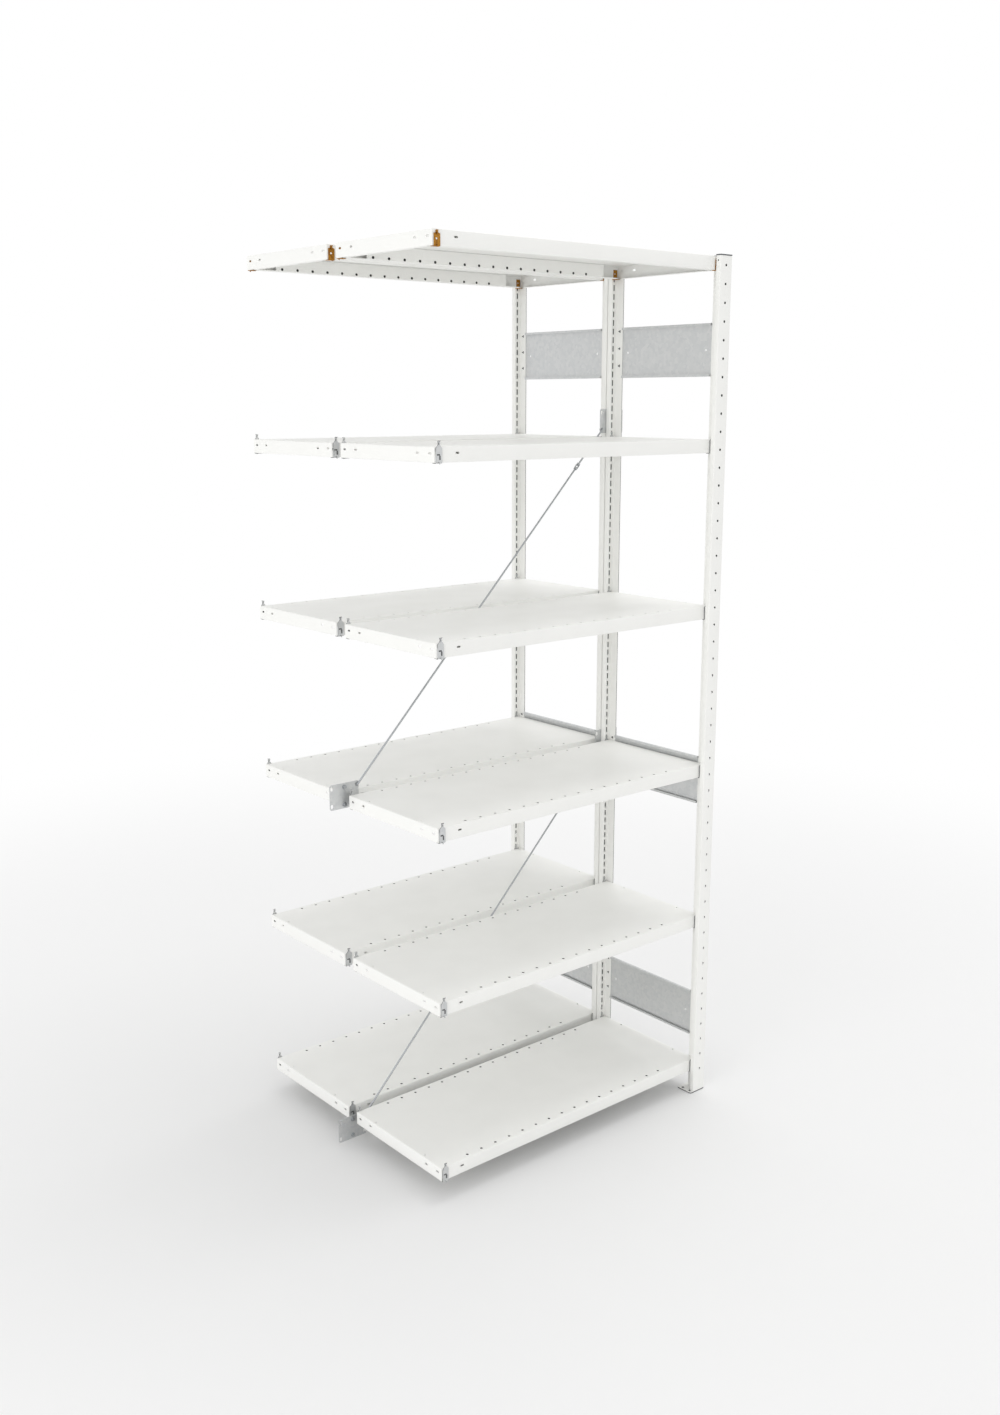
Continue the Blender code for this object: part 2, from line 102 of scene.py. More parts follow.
# A clip's gap to the shelf, bend, taper and flared head, and how the top level's is lower
CLIP_GAP, CLIP_BEND, CLIP_TAPER = 0.0003, 0.0012, 0.0085
FLARE_DROPS, FLARES, HEAD_TURN = (0.005, 0.0025), (0.0022, 0.0006), (0.003, 0.0002)
TOP_TIP_DROP, TOP_SHOULDER_DROP, TOP_TAPER = 0.0176, 0.00792, 0.0017
# The two hooks behind a clip
HOOK_BELOW_TIP, LOWER_HOOK, HOOK_REACH, HOOK_DROP = 0.0045, -0.0368, 0.0042, 0.0045
HOOK_HALF_WIDTH, HOOK_BEND, HOOK_SHEET_SHARE = 0.0016, 0.0009, 0.9
# Dark tongues sunk in their cuts, which paint the shade there: gap round them, depth and thickness
SUNK_GAP, SUNK_DEPTH, SUNK_SHEET = 0.0001, 0.0002, 0.0006

# Clinch marks: heights from a plate's middle, distance from the head, and shares of their size
CLINCHES, CLINCH_FROM_HEAD = (0.0625, 0.0125, -0.0375), 0.012
CLINCH_TAPER_SHARE, TONGUE_SHARE = 0.9, 0.95
SIDE_HOLE_DROP, SIDE_HOLE_RADIUS = 0.013, 0.0025
PLATE_BEND, HEM_CLEARANCE = 0.0012, 0.001
# A foot plate, and its fixings' offsets towards the bay, from the face and above the floor
FOOT_SHEET, FOOT_CORNER, ANCHOR_HOLE_RADIUS = 0.003, 0.006, 0.0045
ANCHOR, SCREW_PLACE, SCREW_FLATS = (0.0275, 0.0407, 0.0005), (0.0287, 0.012, 0.003), 0.0055
# The face hole that holds the rivet, counted from the top one, which is 0
RIVET_HOLE = 49

# The brace's bolts, rods and tensioners
BOLT_HOLE_RADIUS, BOLT_SHANK, BOLT_RADIUS, BOLT_CHAMFER = 0.0033, 0.008, 0.003, 0.0004
ROD_BEND, ROD_APART, ROD_NUT_SEAT, ROD_NUT_FIT, ROD_NUT_FLATS = 0.0032, 0.003, 0.0021, 0.0002, 0.011
LOOP_HALF, LOOP_RADIUS, LOOP_FLATTENING = (0.0088, 0.0048), 0.0016, 1.25
BORE_FIT, BOSS_FLATS, NUT_BORE = 0.0003, 0.0098, 0.0031
HEAD_CHAMFER, HEAD_TOP_SHARE = 0.0008, 0.87
# A hexagon's width over its corners for a width of one over its flats
OVER_CORNERS = 1.1547
# Sides of turned parts with flats, of plain round ones and of a rod, steps round a
# tensioner's loop and its bar, steps over a thread's pitch and columns over a clip
HEX_SIDES, ROUND_SIDES, ROD_SIDES = 36, 16, 14
LOOP_STEPS, LOOP_SIDES, PITCH_STEPS, CLIP_COLUMNS = 48, 12, 5, 9
# Where a coarse quarter arc has its middle grid line, as a share of its radius
ARC_MIDDLE = 0.41421
# Points closer than this are one, and folds sharper than this angle in degrees stay sharp
TOUCHING, SHARP_FROM = 2e-6, 33

# Profiles of turned parts as radius and height along the axis
STUD = [(0, 0), (0.0036, 0), (0.0036, 0.0014), (0.0032, 0.0018), (0, 0.0018)]
SCREW = [(0, 0), (0.0031, 0), (0.0031, 0.0018), (0.0027, 0.0022), (0, 0.0022)]
RIVET = [(0, 0.0006), (0.003, 0.0006), (0.0055, 0.0003), (0.006, 0)]
RIVET += [(0.0037, 0), (0.0037, -0.004), (0, -0.004)]
WASHER = [(0, 0), (0.0063, 0), (0.0065, 0.0002), (0.0065, 0.001), (0.0063, 0.0012), (0, 0.0012)]
# The outsides of nuts and bosses, which their bore closes
NUT = [(0.0056, 0), (0.0058, 0.0004), (0.0058, 0.0046), (0.005, 0.005)]
ROD_NUT = [(0.0058, 0), (0.006, 0.0003), (0.006, 0.0019), (0.0055, 0.0024)]
BOSS = [(0.0052, 0.0055), (0.0056, 0.006), (0.0056, 0.0103), (0.0051, 0.0109)]


def length(name, value, text):
    """A property that holds a length in metres."""
    return FloatProperty(name=name, description=text, default=value, min=0, unit="LENGTH", precision=5)


def power(name, value, text):
    """A property that holds a lamp's power in watts."""
    return FloatProperty(name=name, description=text, default=value, min=0, unit="POWER")


def linear(code):
    """An sRGB hex colour as three linear values."""
    channels = np.array([int(code[at : at + 2], 16) / 255 for at in (1, 3, 5)])
    bent = ((channels + 0.055) / 1.055) ** 2.4
    return tuple(np.where(channels <= 0.04045, channels / 12.92, bent))


def colour(name, code, text):
    """A property that holds a surface colour, written as sRGB hex."""
    return FloatVectorProperty(
        name=name, description=text, default=linear(code), size=3, min=0, max=1, subtype="COLOR"
    )


class ShelfSizes(PropertyGroup):
    """A pan shelf folded from one sheet."""

    length: length("Length", 1.0, "Length of a shelf between the frames")
    depth: length("Depth", 0.4, "Depth of one row's shelf")
    height: length("Height", 0.038, "Height of the folded edge")
    sheet: length("Sheet", 0.0012, "Thickness of the steel")
    lip: length("Lip", 0.014, "Width of the lip turned in under each edge")
    bend: length("Bend", 0.0016, "Radius of the folds, at the middle of the sheet")
    slot_length: length("Slot length", 0.0082, "Length of a divider slot")
    slot_width: length("Slot width", 0.0078, "Width of a divider slot")
    slot_inset: length("Slot inset", 0.015, "From a long edge to the row of divider slots")
    slot_first: length("First slot", 0.1, "From the left end to the first divider slot")
    slot_pitch: length("Slot pitch", 0.05, "Distance between divider slots")
    slot_count: IntProperty(name="Slots", description="Divider slots in a row", default=16, min=0)
    recess: length("Corner recess", 0.0008, "How far the long edges step in behind the clips")
    channel: length("Channel width", 0.021, "Width of the channel folded along each long edge")
    leg: length("Channel leg", 0.0357, "Height of the leg that closes the channel")
    leg_inset: length("Leg inset", 0.08, "From a shelf's end to the end of the leg")
    gate_start: length("Corner opening", 0.004, "From a shelf's end to the opening behind a clip")
    gate_end: length("Opening's far side", 0.021, "From a shelf's end to the opening's far side")
    gate_top: length("Opening's top", 0.0114, "From the shelf's top down to the opening")
    lip_inset: length("Lip inset", 0.03, "From a long edge to the end of the lip under a short edge")
    # Painted shade: this far past the leg's end the channel's inner side turns to dark steel; the mouth
    # before it stays white
    sprayed: length("Sprayed mouth", 0.015, "How far the coat reaches into the channel's open end")


class UprightSizes(PropertyGroup):
    """A slotted upright: a head box whose two edges run on as a double-walled stem."""

    width: length("Head width", 0.048, "Width of the head box")
    head: length("Head depth", 0.0167, "Depth of the head box")
    depth: length("Depth", 0.0427, "Depth of head and stem together")
    sheet: length("Sheet", 0.0012, "Thickness of the steel")
    slit: length("Slit", 0.0016, "Gap between the stem's two walls")
    bend: length("Bend", 0.0018, "Radius of the folds, at the middle of the sheet")
    slot_width: length("Slot width", 0.005, "Width of a clip slot")
    slot_height: length("Slot height", 0.017, "Height of a clip slot")
    slot_pitch: length("Slot pitch", 0.025, "Distance between clip slots")
    slot_offset: length("Slot offset", 0.015, "From the upright's middle to a column of clip slots")
    hole_radius: length("Hole radius", 0.004, "Radius of the round holes in the face")
    hole_pitch: length("Hole pitch", 0.05, "Distance between the round holes")
    hole_from_top: length("First hole", 0.025, "From the top to the first round hole")


class ClipSizes(PropertyGroup):
    """A spring-steel clip that hangs a shelf's corner on an upright."""

    sheet: length("Sheet", 0.0013, "Thickness of the steel")
    width: length("Width", 0.019, "Width of the body")
    from_end: length("From the end", 0.0125, "From a shelf's end to the clip's middle")
    ledge: length("Ledge", 0.012, "How far the foot reaches under the shelf")
    bottom: length("Depth", 0.0396, "From the shelf's top down to the clip's bottom")
    shoulder: length("Shoulder", 0.003, "From the shelf's top down to where the body tapers")
    tip: length("Tip", 0.0135, "How far the head stands above the shelf's top")
    neck: length("Neck", 0.0052, "Width of the neck")


class PlateSizes(PropertyGroup):
    """A frame plate clinched into the stems, and the marks that the clinching leaves."""

    sheet: length("Sheet", 0.001, "Thickness of the steel")
    hem: length("Hem", 0.007, "Width of the turned edges")
    tuck: length("Tuck", 0.018, "How much of each end is inside a stem")
    hole_radius: length("Hole radius", 0.003, "Radius of the holes near the ends")
    hole_inset: length("Hole inset", 0.022, "From a stem to the nearest hole")
    mark_length: length("Mark length", 0.0095, "Length of a clinch mark")
    mark_height: length("Mark height", 0.0095, "Height of a clinch mark")


class BraceSizes(PropertyGroup):
    """Brackets, rods and tensioners between the two rows, with their fasteners."""

    bracket_corner: length("Bracket corner", 0.006, "Radius of a bracket's corners")
    slot_width: length("Slot width", 0.0085, "Width of a bracket's corner slots")
    slot_height: length("Slot height", 0.0125, "Height of a bracket's corner slots")
    slot_x: length("Slot offset across", 0.041, "From a bracket's middle to its slots, across")
    slot_z: length("Slot offset up", 0.025, "From a bracket's middle to its slots, upwards")
    rod_radius: length("Rod radius", 0.00275, "Radius of a brace rod")
    rod_gap: length("Rod gap", 0.0003, "Clearance between a rod and its bracket")
    rod_hook: length("Hook", 0.009, "How far a rod's end reaches back through its slot")
    thread_pitch: length("Thread pitch", 0.0015, "Pitch of the rod's thread, coarse enough to show")
    thread_depth: length("Thread depth", 0.0003, "Depth of the rod's thread")
    thread_run: length("Threaded length", 0.06, "Threaded length on each side of a tensioner")
    bolt_flats: length("Bolt head", 0.01, "Width of a bolt's head across its flats")
    bolt_height: length("Bolt head height", 0.004, "Height of a bolt's head")


class BayFinishes(PropertyGroup):
    """Surface colours."""

    powder: colour("Powder coat", "#F5F5F2", "White polyester powder coat")
    powder_deep: colour("Powder coat, thin", "#F3F3F0", "The same coat where it lies thinner")
    zinc: colour("Galvanised", "#D3D4D4", "Hot-dip galvanised steel")
    zinc_dark: colour("Galvanised, dull grains", "#CBCDCE", "Grains of the same zinc that look darker")
    passivated: colour("Yellow passivated", "#B98330", "Zinc with a yellow chromate film")
    passivated_deep: colour("Yellow passivated, thick", "#8F5F24", "The film where it is thicker")
    bright: colour("Bright zinc", "#B9BCBF", "Electroplated zinc of rods and bolts")
    plastic: colour("Cap plastic", "#55585A", "Grey polyethylene of the caps")
    # Dark steel colour: uncoated sheared clip edges, and painted shade in the pans' channels, the uprights'
    # folds, the foot plates' edges, the clip cuts, the clinch marks and the anchor holes
    uncoated_and_shade: colour("Bare steel", "#6A6C6D", "Dull steel at edges and inside the folds")


class StudioSettings(PropertyGroup):
    """Floor, lamps and camera."""

    floor: length("Floor radius", 40.0, "Radius of the floor")
    fade_from: length("Fade from", 1.2, "Where the floor starts to fade into the backdrop")
    fade_to: length("Fade to", 4.6, "Where the floor has faded into the backdrop")
    floor_colour: colour("Floor colour", "#F2F2F2", "Colour of the studio floor as it is seen")
    floor_bounce: colour("Floor bounce", "#FCFCFC", "Colour of the light that the floor throws back")
    sky: FloatProperty(name="Ambient", description="Level of the light from all around", default=0.82, min=0)
    key: power("Key lamp", 96.0, "Power of the lamp at the left")
    front: power("Front lamp", 14.0, "Power of the lamp in front")
    roof: power("Roof lamp", 78.0, "Power of the lamp overhead")
    lens: FloatProperty(name="Lens", description="Focal length in millimetres", default=35.354, min=1)


class Fold:
    """A sheet's bent section: straight runs between corners, each corner an arc of one radius.

    Places on it are lengths along the sheet; run k starts at corner k.
    """

    def __init__(self, corners, radius, steps=3):
        corners = np.array(corners, float)
        runs = np.diff(corners, axis=0)
        ways = runs / np.linalg.norm(runs, axis=1, keepdims=True)
        points, trims = [corners[:1]], [0.0]
        for corner, before, after in zip(corners[1:-1], ways[:-1], ways[1:]):
            angle = np.arccos(np.clip(before @ after, -1, 1))
            trim = radius * np.tan(angle / 2)
            inward = after - before * (before @ after)
            inward /= np.linalg.norm(inward)
            turn = np.linspace(0, angle, steps + 1)[:, None]
            arc = np.sin(turn) * before + (1 - np.cos(turn)) * inward
            points.append(corner - before * trim + arc * radius)
            trims.append(trim)
        points.append(corners[-1:])
        self.points = np.concatenate(points)
        chords = np.linalg.norm(np.diff(self.points, axis=0), axis=1)
        self.lines = np.concatenate([[0.0], np.cumsum(chords)])
        starts = np.arange(len(runs)) * (steps + 1)
        self.straight = np.stack([self.lines[starts], self.lines[starts + 1]], axis=1)
        self.zero = self.straight[:, 0] - np.array(trims)
        self.flat = len(runs) // 2

    def at(self, run, distance):
        """The length along the sheet of a point some way past a run's first corner."""
        return self.zero[run] + distance

    def place(self, lengths):
        """The section's two coordinates at lengths along the sheet."""
        first = np.interp(lengths, self.lines, self.points[:, 0])
        second = np.interp(lengths, self.lines, self.points[:, 1])
        return first, second


def hole(u, v, half_u, half_v, radius=0.0, steps=1, taper=0.0):
    """A hole in a flat sheet: its middle, half sizes, corner radius, finesse and taper."""
    return {"u": u, "v": v, "half": (half_u, half_v), "radius": radius, "steps": steps, "taper": taper}


def marks(half, radius, steps):
    """Offsets of the grid lines that a box with rounded corners needs along one direction."""
    if not radius:
        return np.array([-half, half])
    offsets = half - radius + radius * np.array([0, 1] if steps == 1 else [0, ARC_MIDDLE, 1])
    return np.concatenate([-offsets, offsets])


def drawn_in(u, v, half, radius):
    """Points of a box pulled in so that its corners become arcs.

    A point's offset past the box's core, the box shrunk by the radius, is scaled by its larger
    part over its length, which takes a square's edge to a circle.
    """
    core = [np.clip(part, radius - size, size - radius) for part, size in zip((u, v), half)]
    past = [u - core[0], v - core[1]]
    reach = np.hypot(*past)
    scale = np.maximum(abs(past[0]), abs(past[1])) / np.where(reach > 0, reach, 1)
    return core[0] + past[0] * scale, core[1] + past[1] * scale


def cut_sheet(us, vs, holes=(), corner=0.0):
    """A flat sheet as a grid: its points, and which of its cells are metal.

    The grid lines are the given ones and those that bound each hole. A hole's cells are left
    out and the points of its edge are drawn in to its outline; so are the sheet's corners.
    """
    lines_u, lines_v = [np.asarray(us, float)], [np.asarray(vs, float)]
    if corner:
        for lines in (lines_u, lines_v):
            low, high = lines[0].min(), lines[0].max()
            lines.append((low + high) / 2 + marks((high - low) / 2, corner, 2))
    for cut in holes:
        lines_u.append(cut["u"] + marks(cut["half"][0], cut["radius"], cut["steps"]))
        lines_v.append(cut["v"] + marks(cut["half"][1], cut["radius"], cut["steps"]))
    us, vs = (np.unique(np.round(np.concatenate(lines), 6)) for lines in (lines_u, lines_v))
    u, v = np.meshgrid(us, vs, indexing="ij")
    metal = np.ones((len(us) - 1, len(vs) - 1), bool)
    if corner:
        middle = ((us[0] + us[-1]) / 2, (vs[0] + vs[-1]) / 2)
        half = ((us[-1] - us[0]) / 2, (vs[-1] - vs[0]) / 2)
        u, v = drawn_in(u - middle[0], v - middle[1], half, corner)
        u, v = u + middle[0], v + middle[1]
    for cut in holes:
        i, j = (
            slice(*np.searchsorted(lines, (cut[axis] - size - TOUCHING, cut[axis] + size + TOUCHING)))
            for lines, axis, size in ((us, "u", cut["half"][0]), (vs, "v", cut["half"][1]))
        )
        metal[i.start : i.stop - 1, j.start : j.stop - 1] = False
        across, up = u[i, j] - cut["u"], v[i, j] - cut["v"]
        if cut["radius"]:
            across, up = drawn_in(across, up, cut["half"], cut["radius"])
        if cut["taper"]:
            up = up * (1 - abs(cut["taper"]) * (0.5 + np.sign(cut["taper"]) * across / cut["half"][0] / 2))
        u[i, j], v[i, j] = cut["u"] + across, cut["v"] + up
    return u, v, metal, (us[1:] + us[:-1]) / 2, (vs[1:] + vs[:-1]) / 2


def cells(metal):
    """The four corner numbers of each cell of a grid that is metal."""
    rows, columns = metal.shape
    first = (np.arange(rows)[:, None] * (columns + 1) + np.arange(columns))[metal]
    return np.stack([first, first + columns + 1, first + columns + 2, first + 1], axis=1)


def whole(rows, columns):
    """The corner numbers of every cell of a grid."""
    return cells(np.ones((rows, columns), bool))


def outward(points, faces):
    """The faces turned so that the solid they close has a positive volume."""
    a, b, c, d = (points[faces[:, k]] for k in range(4))
    volume = np.einsum("ij,ij->", a, np.cross(b, c) + np.cross(c, d))
    return faces if volume > 0 else faces[:, ::-1]


def thickened(points, faces, thickness):
    """A sheet's middle surface made solid.

    Every point steps half the thickness to each side along the mean normal of the faces that
    meet there, and walls close the edges that belong to one face only.
    """
    kept, numbers = np.unique(faces, return_inverse=True)
    points, faces = points[kept], numbers.reshape(faces.shape)
    across = np.cross(points[faces[:, 2]] - points[faces[:, 0]], points[faces[:, 3]] - points[faces[:, 1]])
    across /= np.linalg.norm(across, axis=1, keepdims=True)
    normals = np.zeros_like(points)
    for corner in range(4):
        np.add.at(normals, faces[:, corner], across)
    normals /= np.linalg.norm(normals, axis=1, keepdims=True)
    count = len(points)
    edges = np.stack([faces, np.roll(faces, -1, axis=1)], axis=2).reshape(-1, 2)
    there, back = edges[:, 0] * count + edges[:, 1], edges[:, 1] * count + edges[:, 0]
    rim = edges[~np.isin(there, back)]
    walls = np.stack([rim[:, 1], rim[:, 0], rim[:, 0] + count, rim[:, 1] + count], axis=1)
    both = np.concatenate([points + normals * thickness / 2, points - normals * thickness / 2])
    return both, np.concatenate([faces, faces[:, ::-1] + count, walls])


def grid_points(x, y, z):
    """Three grids of coordinates as one list of points."""
    return np.stack(np.broadcast_arrays(x, y, z), axis=-1).reshape(-1, 3)


def bar(path, radii, sideways):
    """A round bar along a path that lies in one plane.

    Each ring is the path's point plus the radius times the cosine and sine of the angle round
    it, measured from the path's own normal in the plane to the plane's normal. The ends close
    in a point.
    """
    around = np.shape(radii)[-1] if np.ndim(radii) > 1 else ROUND_SIDES + 1
    radii = np.broadcast_to(radii, (len(path), around))
    tangent = np.gradient(path, axis=0)
    tangent /= np.linalg.norm(tangent, axis=1, keepdims=True)
    normal = np.cross(sideways, tangent)
    angle = np.linspace(0, 2 * np.pi, radii.shape[1])
    spokes = np.cos(angle)[:, None] * normal[:, None, :] + np.sin(angle)[:, None] * sideways
    rings = path[:, None, :] + radii[:, :, None] * spokes
    ends = [np.broadcast_to(path[k], (1, radii.shape[1], 3)) for k in (0, -1)]
    rings = np.concatenate([ends[0], rings, ends[1]])
    return rings.reshape(-1, 3), whole(rings.shape[0] - 1, rings.shape[1] - 1)


def turned(profile, origin, axis, flats=0.0, sides=24):
    """A profile of radius and height swept round an axis.

    With flats, the radius at each angle is no more than a hexagon's, half the flats' distance
    over the cosine of the angle from the nearest flat.
    """
    axis = axis / np.linalg.norm(axis)
    first = np.cross(axis, UP if abs(axis[2]) < 0.9 else BACK)
    first /= np.linalg.norm(first)
    second = np.cross(axis, first)
    angle = np.linspace(0, 2 * np.pi, sides + 1)
    radius, height = np.array(profile, float).T
    radius = np.broadcast_to(radius[:, None], (len(radius), sides + 1))
    if flats:
        radius = np.minimum(radius, flats / 2 / np.cos((angle + np.pi / 6) % (np.pi / 3) - np.pi / 6))
    spokes = np.cos(angle)[:, None] * first + np.sin(angle)[:, None] * second
    points = origin + radius[..., None] * spokes + height[:, None, None] * axis
    return points.reshape(-1, 3), whole(len(height) - 1, sides)


def make_piece(name, solids, material, body="frame", replaced=(), weld=False):
    """One object from closed solids, shaded smooth up to its folds and riding on a body."""
    points, faces, count = [], [], 0
    for solid_points, solid_faces in solids:
        points.append(solid_points)
        faces.append(outward(solid_points, solid_faces) + count)
        count += len(solid_points)
    points, faces = np.concatenate(points), np.concatenate(faces)
    mesh = bpy.data.meshes.new(name)
    mesh.vertices.add(len(points))
    mesh.vertices.foreach_set("co", points.astype(np.float32).ravel())
    mesh.loops.add(faces.size)
    mesh.loops.foreach_set("vertex_index", faces.astype(np.int32).ravel())
    mesh.polygons.add(len(faces))
    mesh.polygons.foreach_set("loop_start", np.arange(0, faces.size, 4, dtype=np.int32))
    mesh.update(calc_edges=True)
    if weld:
        bm = bmesh.new()
        bm.from_mesh(mesh)
        bmesh.ops.remove_doubles(bm, verts=bm.verts, dist=TOUCHING)
        bm.to_mesh(mesh)
        bm.free()
    mesh.shade_smooth()
    mesh.set_sharp_from_angle(angle=np.radians(SHARP_FROM))
    mesh.materials.append(material)
    piece = bpy.data.objects.new(name, mesh)
    bpy.context.scene.collection.objects.link(piece)
    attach(piece, body)
    if replaced:
        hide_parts(*replaced)
    return piece


def add(tree, kind, settings=None, links=None):
    """One node, with its input values or attributes set and its inputs linked."""
    node = tree.nodes.new(kind)
    for key, value in (settings or {}).items():
        if isinstance(key, str) and not key[0].isupper():
            setattr(node, key, value)
    for key, value in (settings or {}).items():
        if not isinstance(key, str) or key[0].isupper():
            node.inputs[key].default_value = value
    for key, socket in (links or {}).items():
        tree.links.new(socket, node.inputs[key])
    return node


def start_material(name):
    """A new material, its empty tree and its Object coordinates."""
    material = bpy.data.materials.new(name)
    material.use_nodes = True
    tree = material.node_tree
    tree.nodes.clear()
    where = add(tree, "ShaderNodeTexCoord").outputs["Object"]
    return material, tree, where


def close_material(tree, settings, base, gloss, relief, height):
    """The bump, the Principled shader and the output that end a surface's tree."""
    bump = add(tree, "ShaderNodeBump", dict(zip(("Strength", "Distance"), relief)), {"Height": height})
    links = {"Base Color": base, "Roughness": gloss, "Normal": bump.outputs["Normal"]}
    shader = add(tree, "ShaderNodeBsdfPrincipled", settings, links)
    add(tree, "ShaderNodeOutputMaterial", links={"Surface": shader.outputs["BSDF"]})


def noise(tree, where, *values):
    """A cloud of noise, from its scale, its detail and maybe its distortion."""
    settings = dict(zip(("Scale", "Detail", "Distortion"), values))
    return add(tree, "ShaderNodeTexNoise", settings, {"Vector": where})


def clouded(name, settings, tones, cloud, tint, gloss, relief, grain=()):
    """A finish whose two tones and gloss follow a cloud of noise, and its relief maybe a finer one.

    Tint is the range of noise over which the tones change, gloss the roughness from the
    cloud's thin places to its thick ones, and relief the bump's strength and depth.
    """
    if name in bpy.data.materials:
        return bpy.data.materials[name]
    material, tree, where = start_material(name)
    shade = noise(tree, where, *cloud).outputs["Fac"]
    height = noise(tree, where, *grain).outputs["Fac"] if grain else shade
    base = blend_colours(tree, scaled(tree, shade, *tint, 0.0, 1.0), *tones)
    close_material(tree, settings, base, scaled(tree, shade, 0.3, 0.7, *gloss), relief, height)
    return material


def shaded(tone, share):
    """A colour scaled by a share."""
    return tuple(share * part for part in tone)


def blend_colours(tree, factor, first, second):
    """A mix of two colours."""
    mix = add(tree, "ShaderNodeMix", {"data_type": "RGBA", 6: (*first, 1), 7: (*second, 1)}, {0: factor})
    return mix.outputs[2]


def scaled(tree, value, low, high, to_low, to_high):
    """A value's range carried to another range and held there."""
    node = add(
        tree,
        "ShaderNodeMapRange",
        {"From Min": low, "From Max": high, "To Min": to_low, "To Max": to_high},
        {"Value": value},
    )
    return node.outputs["Result"]


def powder_coat():
    """White polyester powder coat, sprayed dry and baked on folded steel.

    It has a satin gloss, an orange peel a couple of millimetres across that the eye sees only in
    highlights, and drifts a little in thickness over a hand's width.
    """
    finishes = bpy.context.scene.bay_finishes
    return clouded(
        "white_powder_coat_satin",
        {"IOR": 1.5, "Metallic": 0.0},
        (finishes.powder, finishes.powder_deep),
        cloud=(11.0, 3.0),
        tint=(0.35, 0.7),
        gloss=(0.36, 0.48),
        relief=(0.18, 0.00025),
        grain=(520.0, 2.0),
    )


def galvanised():
    """Steel sheet hot-dipped in zinc.

    The zinc freezes in flat grains about a centimetre across, the spangle, which differ slightly
    in brightness and gloss, under a fine grey bloom.
    """
    name = "galvanised_steel_spangle"
    if name in bpy.data.materials:
        return bpy.data.materials[name]
    tones = bpy.context.scene.bay_finishes
    material, tree, where = start_material(name)
    wander = noise(tree, where, 160.0, 2.0)
    pushed = add(
        tree,
        "ShaderNodeVectorMath",
        {"operation": "MULTIPLY_ADD", 1: (0.004, 0.004, 0.004)},
        {0: wander.outputs["Color"], 2: where},
    )
    grains = add(tree, "ShaderNodeTexVoronoi", {"Scale": 110.0}, {"Vector": pushed.outputs["Vector"]})
    grey = add(tree, "ShaderNodeSeparateColor", links={"Color": grains.outputs["Color"]}).outputs["Red"]
    base = blend_colours(tree, grey, tones.zinc, tones.zinc_dark)
    gloss = scaled(tree, grey, 0.0, 1.0, 0.42, 0.5)
    bloom = noise(tree, where, 900.0, 3.0).outputs["Fac"]
    close_material(tree, {"Metallic": 0.75}, base, gloss, (0.12, 0.0001), bloom)
    return material


def yellow_passivated():
    """Spring steel, zinc plated and dipped in yellow chromate.

    The film is golden brown, darker in random clouds where it is thicker, with a metallic satin gloss.
    """
    finishes = bpy.context.scene.bay_finishes
    return clouded(
        "yellow_passivated_spring_steel",
        {"Metallic": 0.8},
        (finishes.passivated, finishes.passivated_deep),
        cloud=(140.0, 4.0, 0.6),
        tint=(0.35, 0.68),
        gloss=(0.3, 0.45),
        relief=(0.1, 0.0001),
    )


def bright_zinc():
    """Drawn steel bar and pressed fasteners, electroplated with zinc.

    Even light grey with faint clouds and a brighter gloss than hot-dipped zinc.
    """
    tone = bpy.context.scene.bay_finishes.bright
    return clouded(
        "electroplated_zinc",
        {"Metallic": 0.9},
        (tone, shaded(tone, 0.82)),
        cloud=(300.0, 3.0),
        tint=(0.3, 0.7),
        gloss=(0.26, 0.4),
        relief=(0.1, 0.0001),
    )


def dark_steel_and_painted_shade():
    """Dark dull steel: uncoated sheared edges on the clips, and painted shade inside the pans' channels and
    end lips, inside the uprights' head boxes and stems, along the foot plates' edges, on the tongues in the
    clips' cuts and in the clinch marks, and on the stud in each anchor hole. It is also the steel of the
    small screw on each foot plate.

    Its dull torn grain scatters the light, so it looks dark grey and flat beside the coat.
    """
    tone = bpy.context.scene.bay_finishes.uncoated_and_shade
    return clouded(
        "bare_steel_dull",
        {"Metallic": 0.4},
        (tone, shaded(tone, 0.7)),
        cloud=(700.0, 3.0),
        tint=(0.0, 1.0),
        gloss=(0.55, 0.7),
        relief=(0.3, 0.0002),
    )


def moulded_plastic():
    """Grey polyethylene, injection moulded in an eroded tool.

    It is matte with a fine even grain about half a millimetre across.
    """
    tone = bpy.context.scene.bay_finishes.plastic
    return clouded(
        "grey_moulded_polyethylene",
        {"IOR": 1.51, "Metallic": 0.0},
        (tone, shaded(tone, 1.18)),
        cloud=(60.0, 2.0),
        tint=(0.0, 1.0),
        gloss=(0.52, 0.64),
        relief=(0.25, 0.0002),
        grain=(1800.0, 2.0),
    )


def box_of(node):
    """A CAD node's lowest and highest corners as arrays."""
    low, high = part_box(node)
    return np.array(low), np.array(high)


def upright_place(number, size):
    """An upright's middle across, its face, its way back from the face, its bottom and top."""
    low, high = box_of(f"upright_{number}")
    facing = number % 2
    return high[0] - size.width / 2, low[1] if facing else high[1], 1 if facing else -1, low[2], high[2]


def shelf_corner(row, level):
    """The left front corner of a shelf's top."""
    low, high = box_of(f"shelf_{row}_{level}")
    return np.array([low[0], low[1], high[2]])


def bracket_place(name):
    """A bracket's middle, width, height and thickness."""
    low, high = box_of(f"bracket_{name}")
    return (low + high) / 2, high[0] - low[0], high[2] - low[2], high[1] - low[1]


def pan_section(size, span, reach, leg=0.0):
    """A pan's section: its flat top, a flange at each side, a lip turned in, and maybe a leg."""
    half = size.sheet / 2
    low = half - size.height
    left = [(reach - half, low), (half, low), (half, -half)]
    if leg:
        left.insert(0, (reach - half, low + leg))
    return Fold(left + [(span - x, z) for x, z in reversed(left)], size.bend)


